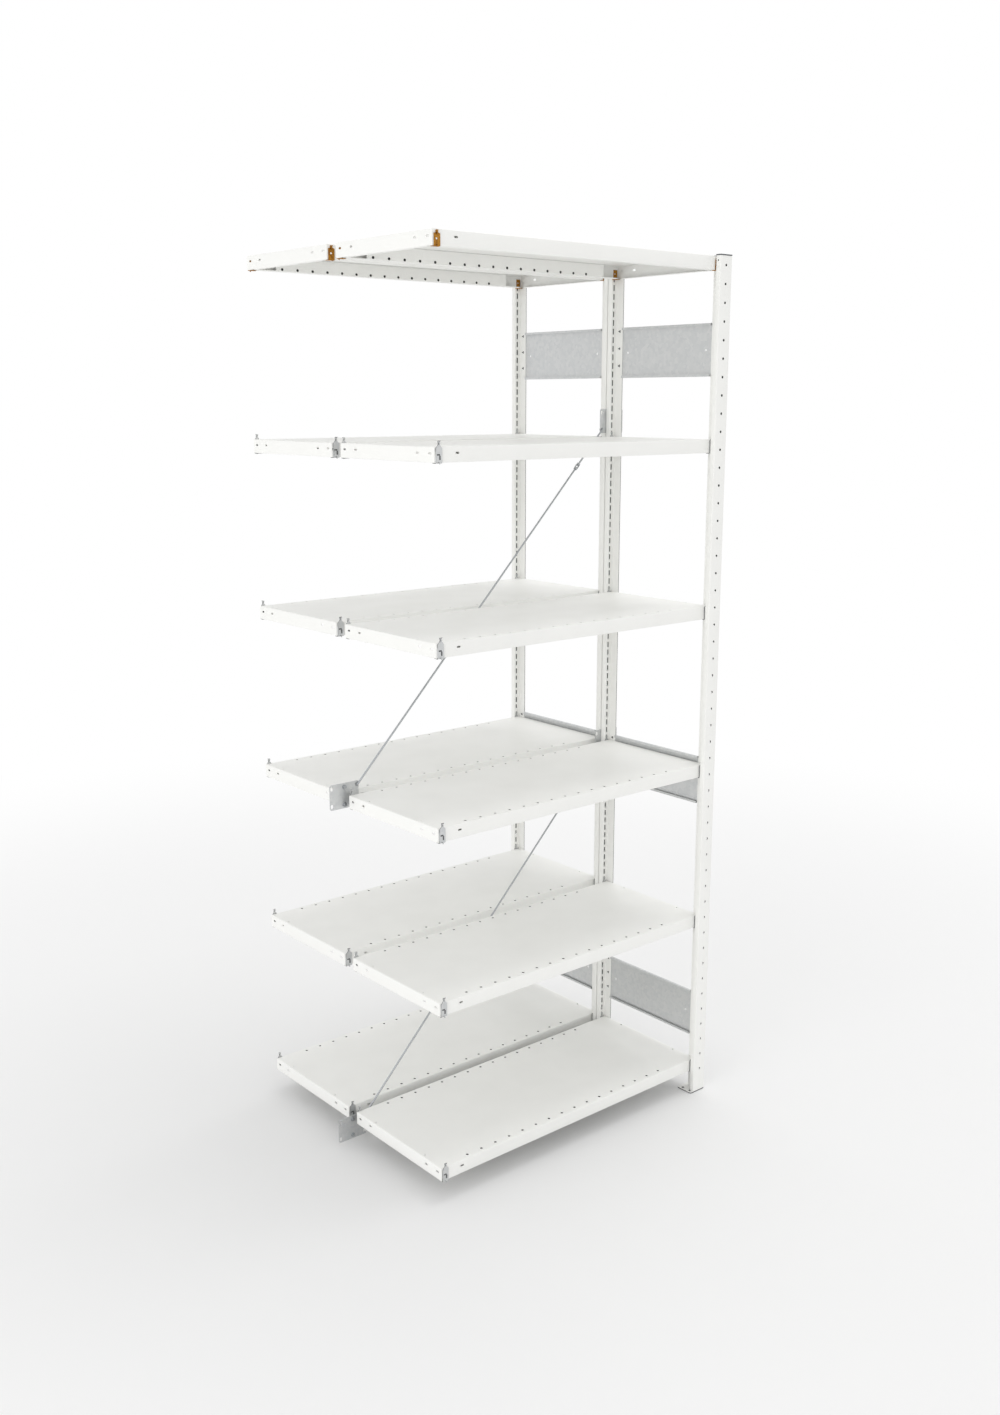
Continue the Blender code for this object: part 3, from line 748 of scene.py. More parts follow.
def flange_share(fold, lengths, side):
    """1 on one side's flange, falling to 0 over the folds above and below it."""
    runs = [fold.flat + step * side for step in (1, 1, 2, 0)]
    knots = [fold.straight[runs[0], 0], fold.straight[runs[1], 1]]
    above, below = fold.straight[runs[3]], fold.straight[runs[2]]
    outer = [above[1], *knots, below[0]] if side > 0 else [below[1], *knots, above[0]]
    return np.interp(lengths, outer, [0, 1, 1, 0])


def on_edges(size, fold, drop):
    """The lengths along a pan's section that lie some way below its top on both edges."""
    half = size.sheet / 2
    low_side = fold.at(fold.flat - 1, size.height - size.sheet - drop + half)
    return low_side, fold.at(fold.flat + 1, drop - half)


def both_ends(insets, whole):
    """Distances from one end, then the same from the other end."""
    return [*insets, *(whole - inset for inset in insets)]


def outside(values, low, high):
    """Which values lie below one limit or above the other."""
    return (values < low) | (values > high)


def shelf_solid(size):
    """A pan shelf, its left front top corner at the origin, and which of its faces carry painted shade in
    dark steel.

    One flat cross is folded both ways: a point's x and drop come from its length along the
    long section, its y and a second drop from its length along the short one, whose edges
    close to channels. The squares where both folds meet are left out, the edges are drawn
    together at the corners, and the long edges step in and are open behind the clips.
    """
    half = size.sheet / 2
    along = pan_section(size, size.length, size.lip + size.sheet)
    across = pan_section(size, size.depth, size.channel, size.leg)
    cuts = []
    for k in range(size.slot_count):
        u = along.at(along.flat, size.slot_first + k * size.slot_pitch - half)
        for y in both_ends([size.slot_inset], size.depth):
            v = across.at(across.flat, y - half)
            cuts.append(hole(u, v, size.slot_length / 2, size.slot_width / 2, size.slot_width / 2))
        for v in (across.at(0, size.leg - LEG_HOLE_RISE), across.at(6, LEG_HOLE_RISE)):
            cuts.append(hole(u, v, size.slot_length / 2, LEG_HOLE_HALF, SLOT_ROUND))
    for v in on_edges(size, across, EDGE_HOLE_DROP):
        u = along.at(along.flat, EDGE_SLOT_INSET - half)
        cuts.append(hole(u, v, EDGE_SLOT_HALF, SLOT_ROUND, SLOT_ROUND))
    for y in both_ends(END_SLOT_INSETS, size.depth):
        for u in on_edges(size, along, EDGE_HOLE_DROP):
            cuts.append(hole(u, across.at(across.flat, y - half), *END_SLOT_HALF, END_SLOT_HALF[0]))
    for y in both_ends([TOP_HOLE_INSET], size.depth):
        for x in both_ends([TOP_HOLE_FROM_END], size.length):
            u, v = along.at(along.flat, x - half), across.at(across.flat, y - half)
            cuts.append(hole(u, v, TOP_HOLE_RADIUS, TOP_HOLE_RADIUS, TOP_HOLE_RADIUS))
    past_lip = size.lip + size.sheet + LIP_CLEARANCE
    # Past the mouth the channel's inside carries painted shade
    mouth = size.leg_inset + size.sprayed
    ends = [size.gate_start, DRAWN_FROM, past_lip, size.gate_end, STEP_FROM, STEP_TO, size.leg_inset, mouth]
    extra = np.array(both_ends(ends, size.length)) - half
    lines = np.concatenate([along.lines, along.at(along.flat, extra)])
    gate = on_edges(size, across, size.gate_top)
    stops = across.at(across.flat, np.array(both_ends([size.lip_inset], size.depth)) - half)
    u, v, metal, mid_u, mid_v = cut_sheet(lines, np.concatenate([across.lines, gate, stops]), cuts)
    flat_u, flat_v = (
        (middle > fold.straight[fold.flat, 0]) & (middle < fold.straight[fold.flat, 1])
        for middle, fold in ((mid_u, along), (mid_v, across))
    )
    metal &= flat_u[:, None] | flat_v[None, :]
    x_mid = along.place(mid_u)[0]
    from_end = np.minimum(x_mid, size.length - x_mid)
    lips = outside(mid_u, along.straight[0, 1], along.straight[4, 0])
    for part, place in (
        (from_end <= past_lip, outside(mid_v, across.straight[1, 1], across.straight[5, 0])),
        (from_end <= size.leg_inset, outside(mid_v, across.straight[0, 1], across.straight[6, 0])),
        ((from_end > size.gate_start) & (from_end < size.gate_end), outside(mid_v, *gate)),
        (lips, outside(mid_v, *stops)),
    ):
        metal &= ~(part[:, None] & place[None, :])
    x, drop_x = along.place(u)
    y, drop_y = across.place(v)
    front, rear = flange_share(across, v, -1), flange_share(across, v, 1)
    left, right = flange_share(along, u, -1), flange_share(along, u, 1)
    at_left, at_right, at_front, at_rear = (
        np.clip((DRAWN_FROM - part) / DRAWN_OVER, 0, 1) for part in (x, size.length - x, y, size.depth - y)
    )
    stepped = sum(np.clip((STEP_TO - part) / (STEP_TO - STEP_FROM), 0, 1) for part in (x, size.length - x))
    x = x + DRAWN_X * (front + rear) * (at_right - at_left)
    y = y + DRAWN_Y * (left + right) * (at_rear - at_front) + size.recess * stepped * (front - rear)
    solid = thickened(grid_points(x, y, drop_x + drop_y + half), cells(metal), size.sheet)
    # Painted shade: dark steel on the inner side of the closed channels past the mouth and of the end lips
    inside = inner_side(solid)
    closed = outside(mid_v, across.straight[2, 1], across.straight[4, 0])
    inside[inside] = (closed[None, :] & (from_end > mouth)[:, None] | lips[:, None])[metal]
    return solid, inside


def clip_solids(size, level):
    """A clip's solids about its middle, and which of their faces are dark steel: the sheared edges, uncoated
    and darkened as painted shade, and the sunk tongues that paint the shade in the cuts.

    x is across, y 0 on the shelf's face and -y to the upright. The strip's section runs from
    under the shelf, up its face, to the head. Its half width is a function of height: the
    body, a taper, the neck and a flared head, turned over. A sunk tongue fills each cut.
    """
    half = size.sheet / 2
    foot, face = -size.bottom + half, -CLIP_GAP - half
    tip, shoulder, taper, cut_places = size.tip, -size.shoulder, CLIP_TAPER, CLIP_CUTS
    if level == TOP_LEVEL:
        tip, shoulder = tip - TOP_TIP_DROP, shoulder - TOP_SHOULDER_DROP
        taper, cut_places = TOP_TAPER, (TOP_CLIP_CUT,)
    head = (face - HEAD_TURN[0], tip + HEAD_TURN[1])
    fold = Fold([(size.ledge, foot), (face, foot), (face, tip), head], CLIP_BEND)
    start = fold.at(1, -foot)
    knots = [-1.0, shoulder, shoulder + taper, tip - FLARE_DROPS[0], tip - FLARE_DROPS[1], tip + 0.01]
    knots = start + np.array(knots)
    neck = size.neck
    widths = np.array([size.width, size.width, neck, neck, neck + FLARES[0], neck + FLARES[1]]) / 2
    side = size.width / 2
    cuts = [hole(across, start + up, *rest) for across, up, *rest in cut_places]
    if level < TOP_LEVEL:
        cuts.append(hole(0.0, start + tip - NECK_HOLE_DROP, *NECK_HOLE_HALF))
    columns = np.linspace(-side, side, CLIP_COLUMNS)
    rows = np.concatenate([fold.lines, np.clip(knots, 0, fold.lines[-1])])
    u, v, metal, _, _ = cut_sheet(columns, rows, cuts)
    y, z = fold.place(v)
    spread = u * np.interp(v, knots, widths) / side
    solids = [thickened(grid_points(spread, y, z), cells(metal), size.sheet)]
    # Painted shade: a thin dark tongue sunk in each of the body's cuts
    for cut in cuts[:2] if level < TOP_LEVEL else ():
        across, up = (np.array([-1, 1]) * (part - SUNK_GAP) for part in cut["half"])
        sunk = grid_points(across[:, None] + cut["u"], face + SUNK_DEPTH, up + cut["v"] - start)
        solids.append(thickened(sunk, whole(1, 1), SUNK_SHEET))
    uncoated_and_shade = [edge_walls(solids[0])] + [np.ones(len(faces), bool) for _, faces in solids[1:]]
    for arm in (tip - HOOK_BELOW_TIP, LOWER_HOOK):
        corners = [(face + half, arm), (-HOOK_REACH, arm), (-HOOK_REACH, arm - HOOK_DROP)]
        bent = Fold(corners, HOOK_BEND, 2)
        u, v, metal, _, _ = cut_sheet([-HOOK_HALF_WIDTH, HOOK_HALF_WIDTH], bent.lines)
        y, z = bent.place(v)
        solids.append(thickened(grid_points(u, y, z), cells(metal), size.sheet * HOOK_SHEET_SHARE))
        uncoated_and_shade.append(edge_walls(solids[-1]))
    return solids, np.concatenate(uncoated_and_shade)


def moved(solids, origin, way=1):
    """Solids carried to a place, turned half round the vertical where way is -1."""
    turn = np.array([way, way, 1])
    return [(np.asarray(origin) + points * turn, faces) for points, faces in solids]


def upright_solid(size, plates, bottom, top, plate_heights):
    """An upright, its face at y 0 and its stem running to +y, with both columns of slots.

    The section is folded from one sheet, from one stem wall round the head box to the other;
    height is the second parameter.
    """
    half, stem = size.sheet / 2, (size.slit + size.sheet) / 2
    side, inner = size.width / 2 - half, size.head - half
    fold = Fold(
        [
            (-stem, size.depth),
            (-stem, inner),
            (-side, inner),
            (-side, half),
            (side, half),
            (side, inner),
            (stem, inner),
            (stem, size.depth),
        ],
        size.bend,
    )
    cuts = []
    columns = (fold.at(1, size.slot_offset - stem), fold.at(5, side - size.slot_offset))
    for height in np.arange(size.slot_pitch / 2, top - size.slot_height / 2, size.slot_pitch):
        for u in columns:
            cuts.append(hole(u, height, size.slot_width / 2, size.slot_height / 2))
    for height in np.arange(top - size.hole_from_top, bottom + size.hole_radius, -size.hole_pitch):
        cuts.append(hole(fold.at(3, side), height, size.hole_radius, size.hole_radius, size.hole_radius))
    for run in (2, 4):
        middle, radius = fold.at(run, (inner - half) / 2), SIDE_HOLE_RADIUS
        cuts.append(hole(middle, top - SIDE_HOLE_DROP, radius, radius, radius))
    reach, tall = plates.mark_length / 2, plates.mark_height / 2
    marked = (
        (fold.at(0, size.depth - size.head - CLINCH_FROM_HEAD), CLINCH_TAPER_SHARE),
        (fold.at(6, CLINCH_FROM_HEAD + half), -CLINCH_TAPER_SHARE),
    )
    for height in plate_heights:
        for offset in CLINCHES:
            for u, taper in marked:
                cuts.append(hole(u, height + offset, reach, tall, taper=taper))
    u, v, metal, _, _ = cut_sheet(fold.lines, [bottom, top], cuts)
    x, y = fold.place(u)
    return thickened(grid_points(x, y, v), cells(metal), size.sheet)


def clinch_shade_solids(size, plates, heights):
    """The dark tongues in the clinch marks at each plate, pressed through the stem, which paint the marks'
    shade; an upright's face at y 0.

    Each is a flat wedge that lies sunk in its cut; its half height grows in proportion to the
    distance from its point, which looks to the head.
    """
    reach, tall = TONGUE_SHARE * plates.mark_length / 2, TONGUE_SHARE * plates.mark_height / 2
    y = size.head + CLINCH_FROM_HEAD + np.array([[-reach], [reach]])
    z = np.array([[1 - CLINCH_TAPER_SHARE], [1]]) * tall * np.array([-1, 1])
    wall = (size.slit + size.sheet) / 2
    middles = [height + offset for height in heights for offset in CLINCHES]
    return [
        thickened(grid_points(x, y, z + middle), whole(1, 1), SUNK_SHEET)
        for middle in middles
        for x in (-wall, wall)
    ]


def plate_solid(size, centre, span, height):
    """A frame plate: its section across the sheet is folded over at the top and the bottom,
    between the stems only, and its second parameter runs along it.
    """
    half, tall = size.sheet / 2, height / 2
    edge, inner = tall - half, tall - size.hem
    back = half - size.hem
    corners = [(back, inner), (back, edge), (0, edge)]
    fold = Fold(corners + [(x, -z) for x, z in reversed(corners)], PLATE_BEND)
    free = span / 2 - size.tuck
    reach = free - size.hole_inset
    radius, hemmed = size.hole_radius, free - HEM_CLEARANCE
    cuts = [hole(fold.at(2, edge), y, radius, radius, radius, 2) for y in (-reach, reach)]
    u, v, metal, mid_u, mid_v = cut_sheet(fold.lines, [-span / 2, -hemmed, hemmed, span / 2], cuts)
    sheet = (mid_u > fold.straight[2, 0]) & (mid_u < fold.straight[2, 1])
    metal &= sheet[:, None] | (abs(mid_v) < hemmed)[None, :]
    x, z = fold.place(u)
    return thickened(grid_points(x, v, z) + centre, cells(metal), size.sheet)


def bracket_solid(size, middle, width, height, thickness):
    """A bracket: a flat sheet with rounded corners, four corner slots and two bolt holes."""
    radius = BOLT_HOLE_RADIUS
    cuts = [hole(0.0, z, radius, radius, radius, 2) for z in (-size.slot_z, size.slot_z)]
    for x in (-size.slot_x, size.slot_x):
        for z in (-size.slot_z, size.slot_z):
            across = size.slot_width / 2
            cuts.append(hole(x, z, across, size.slot_height / 2, across, 2))
    us, vs = [-width / 2, width / 2], [-height / 2, height / 2]
    u, v, metal, _, _ = cut_sheet(us, vs, cuts, size.bracket_corner)
    return thickened(grid_points(u, 0.0, v) + middle, cells(metal), thickness)


def collar(bore, outside_points):
    """A ring's closed profile: the points of its outside and its bore."""
    first, last = outside_points[0][1], outside_points[-1][1]
    return [(bore, first), *outside_points, (bore, last), (bore, first)]


def bolt_solids(size, origin, axis):
    """A hexagon bolt: a washer, a head with a turned chamfer, and its shank behind them."""
    head, seat = size.bolt_flats / 2 * OVER_CORNERS, WASHER[-1][1]
    top = size.bolt_height + seat
    edge = (head * HEAD_TOP_SHARE, top)
    hexagon = [(0, seat), (head, seat), (head, top - HEAD_CHAMFER), edge, (0, top)]
    low, radius = -BOLT_SHANK, BOLT_RADIUS
    shank = [(0, low), (radius - BOLT_CHAMFER, low), (radius, low + BOLT_CHAMFER)]
    shank += [(radius, BOLT_CHAMFER), (0, BOLT_CHAMFER)]
    return [
        turned(WASHER, origin, axis),
        turned(hexagon, origin, axis, size.bolt_flats, HEX_SIDES),
        turned(shank, origin, axis, sides=ROUND_SIDES),
    ]


def rod_line(size, number):
    """A rod's two bends and its direction, from the slots of its brackets."""
    ends = []
    for name, side, rise in zip(ROD_BRACKETS[number], (1, -1), (1, -1)):
        middle, _, _, thickness = bracket_place(name)
        back = -thickness / 2 - size.rod_gap - size.rod_radius
        ends.append(middle + np.array([side * size.slot_x, back, rise * size.slot_z]))
    along = ends[1] - ends[0]
    return ends[0], ends[1], along / np.linalg.norm(along)


def rod_solids(size, number):
    """A brace rod in two lengths that meet in the tensioner.

    Each is a bar along a path with one bend. Over the threaded length the radius falls by the
    thread's depth times a triangle wave of the length over the pitch less the turn.
    """
    start, end, along = rod_line(size, number)
    low, high = box_of(f"tensioner_{number}")
    meeting = float(((low + high) / 2 - start) @ along)
    total = float((end - start) @ along)
    sideways = np.cross(along, BACK)
    solids = []
    for origin, way, reach in ((start, along, meeting), (end, -along, total - meeting)):
        fold = Fold([(0, size.rod_hook), (0, 0), (reach - ROD_APART, 0)], ROD_BEND, 5)
        smooth = fold.lines[fold.lines < fold.lines[-1] - size.thread_run]
        step = size.thread_pitch / PITCH_STEPS
        threaded = np.arange(fold.lines[-1] - size.thread_run, fold.lines[-1], step)
        lengths = np.concatenate([smooth, threaded, fold.lines[-1:]])
        distance, back = fold.place(lengths)
        path = origin + distance[:, None] * way + back[:, None] * BACK
        turn = np.linspace(0, 1, ROD_SIDES + 1)
        wave = abs(((lengths / size.thread_pitch)[:, None] - turn) % 1 * 2 - 1)
        groove = size.thread_depth * wave * (lengths >= threaded[0])[:, None]
        solids.append(bar(path, size.rod_radius - groove, sideways))
        nut = origin + BACK * (size.rod_gap + size.rod_radius + ROD_NUT_SEAT)
        ring = collar(size.rod_radius + ROD_NUT_FIT, ROD_NUT)
        solids.append(turned(ring, nut, BACK, ROD_NUT_FLATS, HEX_SIDES))
    return solids


def tensioner_solids(size, number):
    """A turnbuckle: a rounded loop of bar with a hexagon boss at each end, bored for the rods.

    The loop's middle line is a superellipse: each of its two coordinates is the square root
    of the cosine or sine of its angle, with the sign kept.
    """
    _, _, along = rod_line(size, number)
    low, high = box_of(f"tensioner_{number}")
    middle = (low + high) / 2
    sideways = np.cross(along, BACK)
    angle = np.linspace(0, 2 * np.pi, LOOP_STEPS + 1)
    first = np.sign(np.cos(angle)) * abs(np.cos(angle)) ** 0.5
    second = np.sign(np.sin(angle)) * abs(np.sin(angle)) ** 0.5
    path = middle + LOOP_HALF[0] * first[:, None] * along + LOOP_HALF[1] * second[:, None] * sideways
    tangent = np.roll(path[:-1], -1, axis=0) - np.roll(path[:-1], 1, axis=0)
    tangent = np.concatenate([tangent, tangent[:1]])
    tangent /= np.linalg.norm(tangent, axis=1, keepdims=True)
    normal = np.cross(BACK, tangent)
    turn = np.linspace(0, 2 * np.pi, LOOP_SIDES + 1)
    spokes = np.cos(turn)[:, None] * normal[:, None, :] + np.sin(turn)[:, None] * BACK * LOOP_FLATTENING
    rings = path[:, None, :] + LOOP_RADIUS * spokes
    solids = [(rings.reshape(-1, 3), whole(LOOP_STEPS, LOOP_SIDES))]
    boss = collar(size.rod_radius + BORE_FIT, BOSS)
    for way in (-1, 1):
        solids.append(turned(boss, middle, way * along, BOSS_FLATS, HEX_SIDES))
    return solids


def foot_solid(number, middle, face, back):
    """A foot plate: a flat sheet with rounded corners and an anchor hole on the bay's side."""
    low, high = box_of(f"foot_{number}")
    radius = ANCHOR_HOLE_RADIUS
    cuts = [hole(middle - ANCHOR[0], face + back * ANCHOR[1], radius, radius, radius, 2)]
    u, v, metal, _, _ = cut_sheet([low[0], high[0]], [low[1], high[1]], cuts, FOOT_CORNER)
    return thickened(grid_points(u, v, low[2] + FOOT_SHEET / 2), cells(metal), FOOT_SHEET)


def paint_dark_steel_on(piece, chosen):
    """Dark steel on the chosen faces of a piece: uncoated edges, and painted shade in hollows, cuts and
    marks.
    """
    piece.data.materials.append(dark_steel_and_painted_shade())
    piece.data.polygons.foreach_set("material_index", chosen.astype(np.int32))


def inner_side(solid):
    """Which faces of a thickened sheet lie on its second side."""
    points, faces = solid
    return (faces >= len(points) // 2).all(axis=1)


def edge_walls(solid):
    """Which faces of a thickened sheet reach from one side to the other."""
    points, faces = solid
    sides = faces < len(points) // 2
    return sides.any(axis=1) & ~sides.all(axis=1)


class BAY_OT_shelves(Operator):
    """Make the pan shelves of both rows"""

    bl_idname = "bay.make_shelves"
    bl_label = "Shelves"

    def execute(self, context):
        solid, inside = shelf_solid(context.scene.bay_shelves)
        for row in ROWS:
            for level in LEVELS:
                node = f"shelf_{row}_{level}"
                placed = moved([solid], shelf_corner(row, level))
                pan = make_piece(f"pan_{row}_{level}", placed, powder_coat(), node, [node])
                # Painted shade inside the channels and end lips
                paint_dark_steel_on(pan, inside)
        return {"FINISHED"}


class BAY_OT_clips(Operator):
    """Make the clips at the shelves' left corners and on the uprights at the right"""

    bl_idname = "bay.make_clips"
    bl_label = "Clips"

    def execute(self, context):
        size, shelves = context.scene.bay_clips, context.scene.bay_shelves
        for level in LEVELS:
            top = level == TOP_LEVEL
            metal = yellow_passivated() if top else galvanised()
            solids, uncoated_and_shade = clip_solids(size, level)
            for row in ROWS:
                corner = shelf_corner(row, level)
                body = f"shelf_{row}_{level}"
                at_front = corner + np.array([size.from_end, 0, 0])
                at_rear = corner + np.array([size.from_end, shelves.depth, 0])
                shift = np.array([shelves.length - 2 * size.from_end, 0, 0])
                for name, places, rider, replaced in (
                    ("hook_front", [(at_front, 1)], body, [f"clip_{row}_{level}"]),
                    ("hook_rear", [(at_rear, -1)], body, ()),
                    ("hooks_right", [(at_front + shift, 1), (at_rear + shift, -1)], "frame", ()),
                ):
                    placed = [solid for place, way in places for solid in moved(solids, place, way)]
                    piece = make_piece(f"{name}_{row}_{level}", placed, metal, rider, replaced)
                    # Dark steel on the sheared edges, and painted shade on the tongues in the cuts
                    if not top:
                        paint_dark_steel_on(piece, np.tile(uncoated_and_shade, len(places)))
        return {"FINISHED"}


class BAY_OT_uprights(Operator):
    """Make the four slotted uprights"""

    bl_idname = "bay.make_uprights"
    bl_label = "Uprights"

    def execute(self, context):
        size, plates = context.scene.bay_uprights, context.scene.bay_plates
        heights = [sum(box[2] for box in box_of(f"plate_front_{k}")) / 2 for k in (1, 2, 3)]
        for number in UPRIGHTS:
            middle, face, back, bottom, top = upright_place(number, size)
            solid = upright_solid(size, plates, bottom, top, heights)
            solids = moved([solid], (middle, face, 0), back)
            node = f"upright_{number}"
            post = make_piece(f"post_{number}", solids, powder_coat(), replaced=[node])
            # Painted shade: the sheet's inner side, inside the head box and between the stem's walls, is
            # dark steel
            paint_dark_steel_on(post, inner_side(solid))
            # Painted shade: dark tongues in the clinch marks
            tongues = moved(clinch_shade_solids(size, plates, heights), (middle, face, 0), back)
            make_piece(f"clinches_{number}", tongues, dark_steel_and_painted_shade())
        return {"FINISHED"}


class BAY_OT_plates(Operator):
    """Make the plates that tie the uprights into frames"""

    bl_idname = "bay.make_plates"
    bl_label = "Frame plates"

    def execute(self, context):
        size = context.scene.bay_plates
        for row in ROWS:
            for number in (1, 2, 3):
                node = f"plate_{row}_{number}"
                low, high = box_of(node)
                centre = (low + high) / 2
                centre[0] = high[0] - size.sheet / 2
                solid = plate_solid(size, centre, high[1] - low[1], high[2] - low[2])
                make_piece(f"tie_{row}_{number}", [solid], galvanised(), replaced=[node])
        return {"FINISHED"}


class BAY_OT_feet(Operator):
    """Make the foot plates with their fixings and the rivet in each upright's lowest hole"""

    bl_idname = "bay.make_feet"
    bl_label = "Feet"

    def execute(self, context):
        uprights = context.scene.bay_uprights
        for number in UPRIGHTS:
            middle, face, back, _, top = upright_place(number, uprights)
            solid = foot_solid(number, middle, face, back)
            node = f"foot_{number}"
            base = make_piece(f"base_{number}", [solid], powder_coat(), replaced=[node])
            # Painted shade: the plate's edges are dark steel, a contact shadow line round it
            paint_dark_steel_on(base, edge_walls(solid))
            height = top - uprights.hole_from_top - RIVET_HOLE * uprights.hole_pitch
            rivet = turned(RIVET, np.array([middle, face, height]), -back * BACK)
            make_piece(f"rivet_{number}", [rivet], powder_coat(), weld=True)
            # Painted shade: a dark stud fills each anchor hole; the screw beside the post is dark steel too
            anchor, screw = (
                np.array([middle - across, face + back * depth, low])
                for across, depth, low in (ANCHOR, SCREW_PLACE)
            )
            solids = [turned(STUD, anchor, UP), turned(SCREW, screw, UP, SCREW_FLATS, HEX_SIDES)]
            make_piece(f"fixings_{number}", solids, dark_steel_and_painted_shade(), weld=True)
        return {"FINISHED"}


class BAY_OT_brace(Operator):
    """Make the brackets with their bolts, the brace rods and their tensioners"""

    bl_idname = "bay.make_brace"
    bl_label = "Brace"

    def execute(self, context):
        size = context.scene.bay_brace
        for name in BRACKETS:
            middle, width, height, thickness = bracket_place(name)
            node = f"bracket_{name}"
            solid = bracket_solid(size, middle, width, height, thickness)
            make_piece(f"lug_{name}", [solid], galvanised(), replaced=[node])
            if name.startswith("left"):
                solids = []
                for rise in (-size.slot_z, size.slot_z):
                    seat = middle + np.array([0, -thickness / 2, rise])
                    solids += bolt_solids(size, seat, -BACK)
                    nut = collar(NUT_BORE, NUT)
                    solids.append(turned(nut, seat + BACK * thickness, BACK, size.bolt_flats, HEX_SIDES))
                make_piece(f"bolts_{name}", solids, bright_zinc(), weld=True)
        for number in ROD_BRACKETS:
            node = f"brace_rod_{number}"
            solids = rod_solids(size, number)
            make_piece(f"rod_{number}", solids, bright_zinc(), replaced=[node], weld=True)
            node = f"tensioner_{number}"
            solids = tensioner_solids(size, number)
            make_piece(f"turnbuckle_{number}", solids, bright_zinc(), node, [node], weld=True)
        return {"FINISHED"}


class BAY_OT_caps(Operator):
    """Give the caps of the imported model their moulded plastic"""

    bl_idname = "bay.finish_caps"
    bl_label = "Caps"

    def execute(self, context):
        for number in UPRIGHTS:
            for place in NODES[f"cap_{number}"].material_slots:
                place.material = moulded_plastic()
        return {"FINISHED"}


def seen_rays(tree):
    """1 for rays from the camera, through glass or off gloss, and 0 for the light on things."""
    path = add(tree, "ShaderNodeLightPath")
    seen = path.outputs["Is Camera Ray"]
    for kind in ("Is Glossy Ray", "Is Transmission Ray"):
        settings = {"operation": "ADD", "use_clamp": True}
        seen = add(tree, "ShaderNodeMath", settings, {0: seen, 1: path.outputs[kind]}).outputs[0]
    return seen


def studio_floor(studio):
    """Matte paper that shows the shadow near the bay and fades into the white backdrop."""
    material, tree, where = start_material("studio_paper")
    reach = add(tree, "ShaderNodeVectorMath", {"operation": "LENGTH"}, {0: where}).outputs["Value"]
    far = add(
        tree,
        "ShaderNodeMapRange",
        {"interpolation_type": "SMOOTHSTEP", "From Min": studio.fade_from, "From Max": studio.fade_to},
        {"Value": reach},
    ).outputs["Result"]
    seen = seen_rays(tree)
    share = add(tree, "ShaderNodeMath", {"operation": "MULTIPLY"}, {0: far, 1: seen}).outputs[0]
    shade = blend_colours(tree, seen, studio.floor_bounce, studio.floor_colour)
    paper = add(tree, "ShaderNodeBsdfDiffuse", links={"Color": shade})
    white = add(tree, "ShaderNodeEmission", {"Color": (1, 1, 1, 1), "Strength": 1.0})
    mix = add(tree, "ShaderNodeMixShader", {}, {0: share, 1: paper.outputs[0], 2: white.outputs[0]})
    add(tree, "ShaderNodeOutputMaterial", links={"Surface": mix.outputs[0]})
    return material


def add_lamp(name, place, aim, size, power):
    """A square soft lamp that looks at a point."""
    lamp = bpy.data.lights.new(name, "AREA")
    lamp.shape = "SQUARE"
    lamp.size = size
    lamp.energy = power
    holder = bpy.data.objects.new(name, lamp)
    bpy.context.scene.collection.objects.link(holder)
    holder.location = place
    holder.rotation_euler = (Vector(aim) - Vector(place)).to_track_quat("-Z", "Y").to_euler()


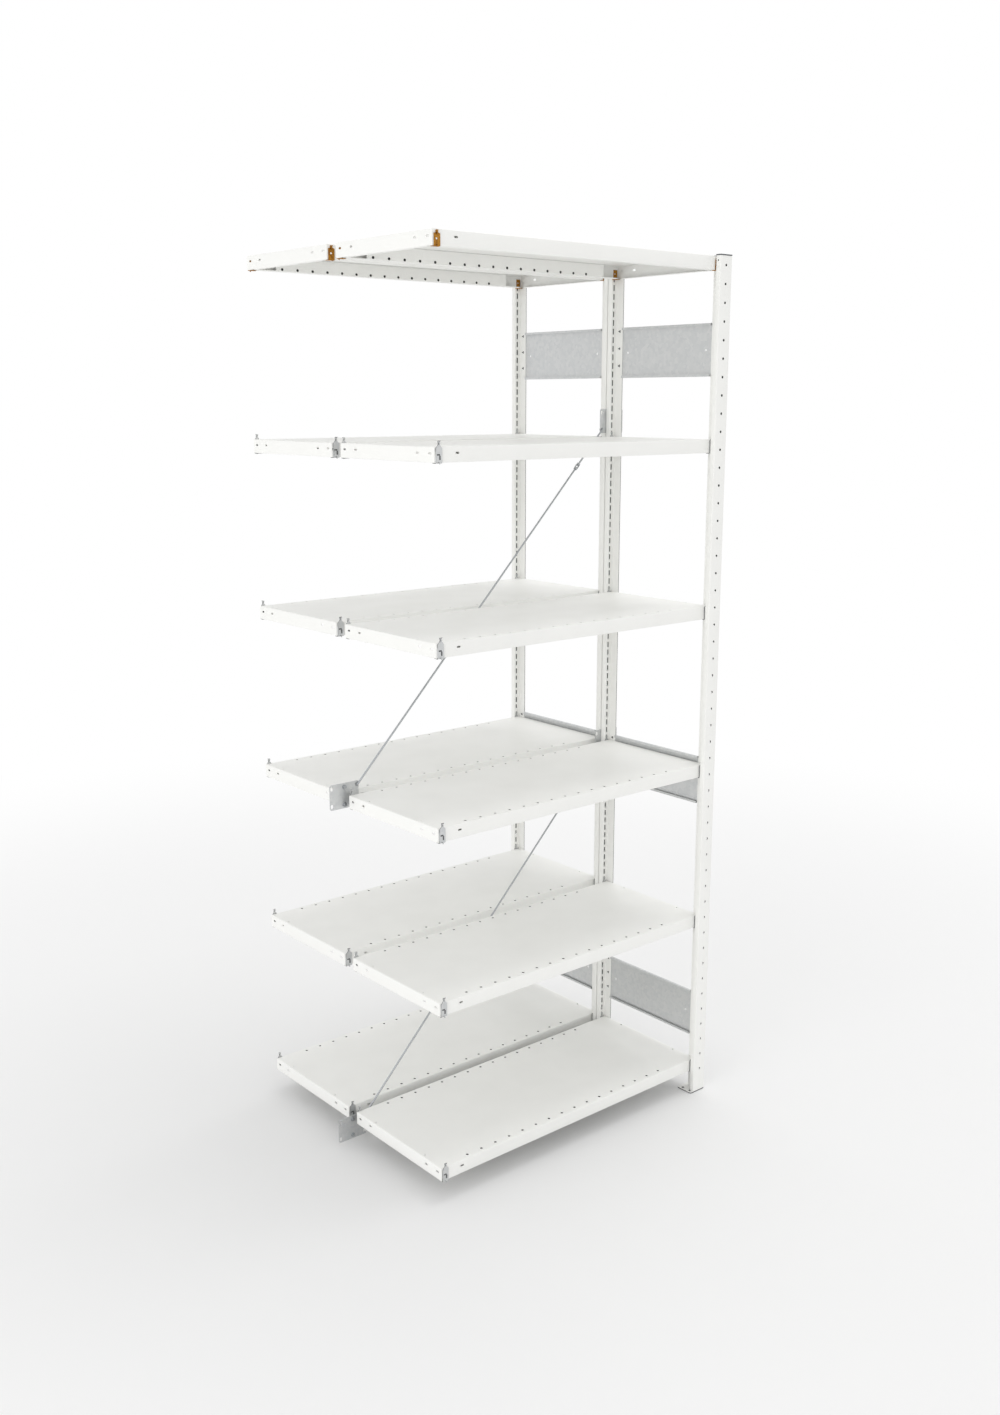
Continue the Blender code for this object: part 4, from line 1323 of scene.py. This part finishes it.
class BAY_OT_studio(Operator):
    """Make the floor, the light and the camera"""

    bl_idname = "bay.make_studio"
    bl_label = "Studio"

    def execute(self, context):
        studio = context.scene.bay_studio
        angle = np.linspace(0, 2 * np.pi, FLOOR_SIDES, endpoint=False)
        rim = grid_points(studio.floor * np.cos(angle), studio.floor * np.sin(angle), 0.0)
        mesh = bpy.data.meshes.new("floor")
        mesh.from_pydata(rim.tolist(), [], [list(range(FLOOR_SIDES))])
        mesh.materials.append(studio_floor(studio))
        floor = bpy.data.objects.new("floor", mesh)
        context.scene.collection.objects.link(floor)
        world = bpy.data.worlds.new("studio")
        world.use_nodes = True
        tree = world.node_tree
        tree.nodes.clear()
        level = scaled(tree, seen_rays(tree), 0.0, 1.0, studio.sky, 1.0)
        sky = add(tree, "ShaderNodeBackground", {"Color": (1, 1, 1, 1)}, {"Strength": level})
        add(tree, "ShaderNodeOutputWorld", links={"Surface": sky.outputs[0]})
        context.scene.world = world
        for name, (place, aim, size) in LAMPS.items():
            add_lamp(name, place, aim, size, getattr(studio, name))
        context.scene.view_settings.view_transform = "Standard"
        lens = bpy.data.cameras.new("camera")
        lens.lens = studio.lens
        lens.clip_end = FAR_CLIP
        camera = bpy.data.objects.new("camera", lens)
        context.scene.collection.objects.link(camera)
        camera.location = CAMERA_PLACE
        camera.rotation_euler = np.radians(CAMERA_TURN)
        context.scene.camera = camera
        return {"FINISHED"}


class BAY_PT_panel(Panel):
    """Sizes, finishes and the buttons that make each kind of piece"""

    bl_idname = "BAY_PT_panel"
    bl_label = "Double-depth shelving bay"
    bl_space_type = "VIEW_3D"
    bl_region_type = "UI"
    bl_category = "Shelving"

    def draw(self, context):
        for operator in OPERATORS:
            self.layout.operator(operator.bl_idname)
        for name in SETTINGS:
            box = self.layout.box()
            group = getattr(context.scene, name)
            for key in type(group).__annotations__:
                box.prop(group, key)


SETTINGS = {
    "bay_shelves": ShelfSizes,
    "bay_uprights": UprightSizes,
    "bay_clips": ClipSizes,
    "bay_plates": PlateSizes,
    "bay_brace": BraceSizes,
    "bay_finishes": BayFinishes,
    "bay_studio": StudioSettings,
}
OPERATORS = (
    BAY_OT_studio,
    BAY_OT_shelves,
    BAY_OT_uprights,
    BAY_OT_plates,
    BAY_OT_clips,
    BAY_OT_feet,
    BAY_OT_brace,
    BAY_OT_caps,
)


def register():
    """Register the classes and hang the settings on the scene."""
    for name, group in SETTINGS.items():
        bpy.utils.register_class(group)
        setattr(bpy.types.Scene, name, PointerProperty(type=group))
    for kind in (*OPERATORS, BAY_PT_panel):
        bpy.utils.register_class(kind)


def unregister():
    """Take the settings and the classes away again."""
    for kind in (BAY_PT_panel, *reversed(OPERATORS)):
        bpy.utils.unregister_class(kind)
    for name, group in reversed(SETTINGS.items()):
        delattr(bpy.types.Scene, name)
        bpy.utils.unregister_class(group)


def main():
    """Make everything."""
    register()
    bpy.ops.bay.make_studio()
    bpy.ops.bay.make_shelves()
    bpy.ops.bay.make_uprights()
    bpy.ops.bay.make_plates()
    bpy.ops.bay.make_clips()
    bpy.ops.bay.make_feet()
    bpy.ops.bay.make_brace()
    bpy.ops.bay.finish_caps()


if __name__ == "__main__":
    main()
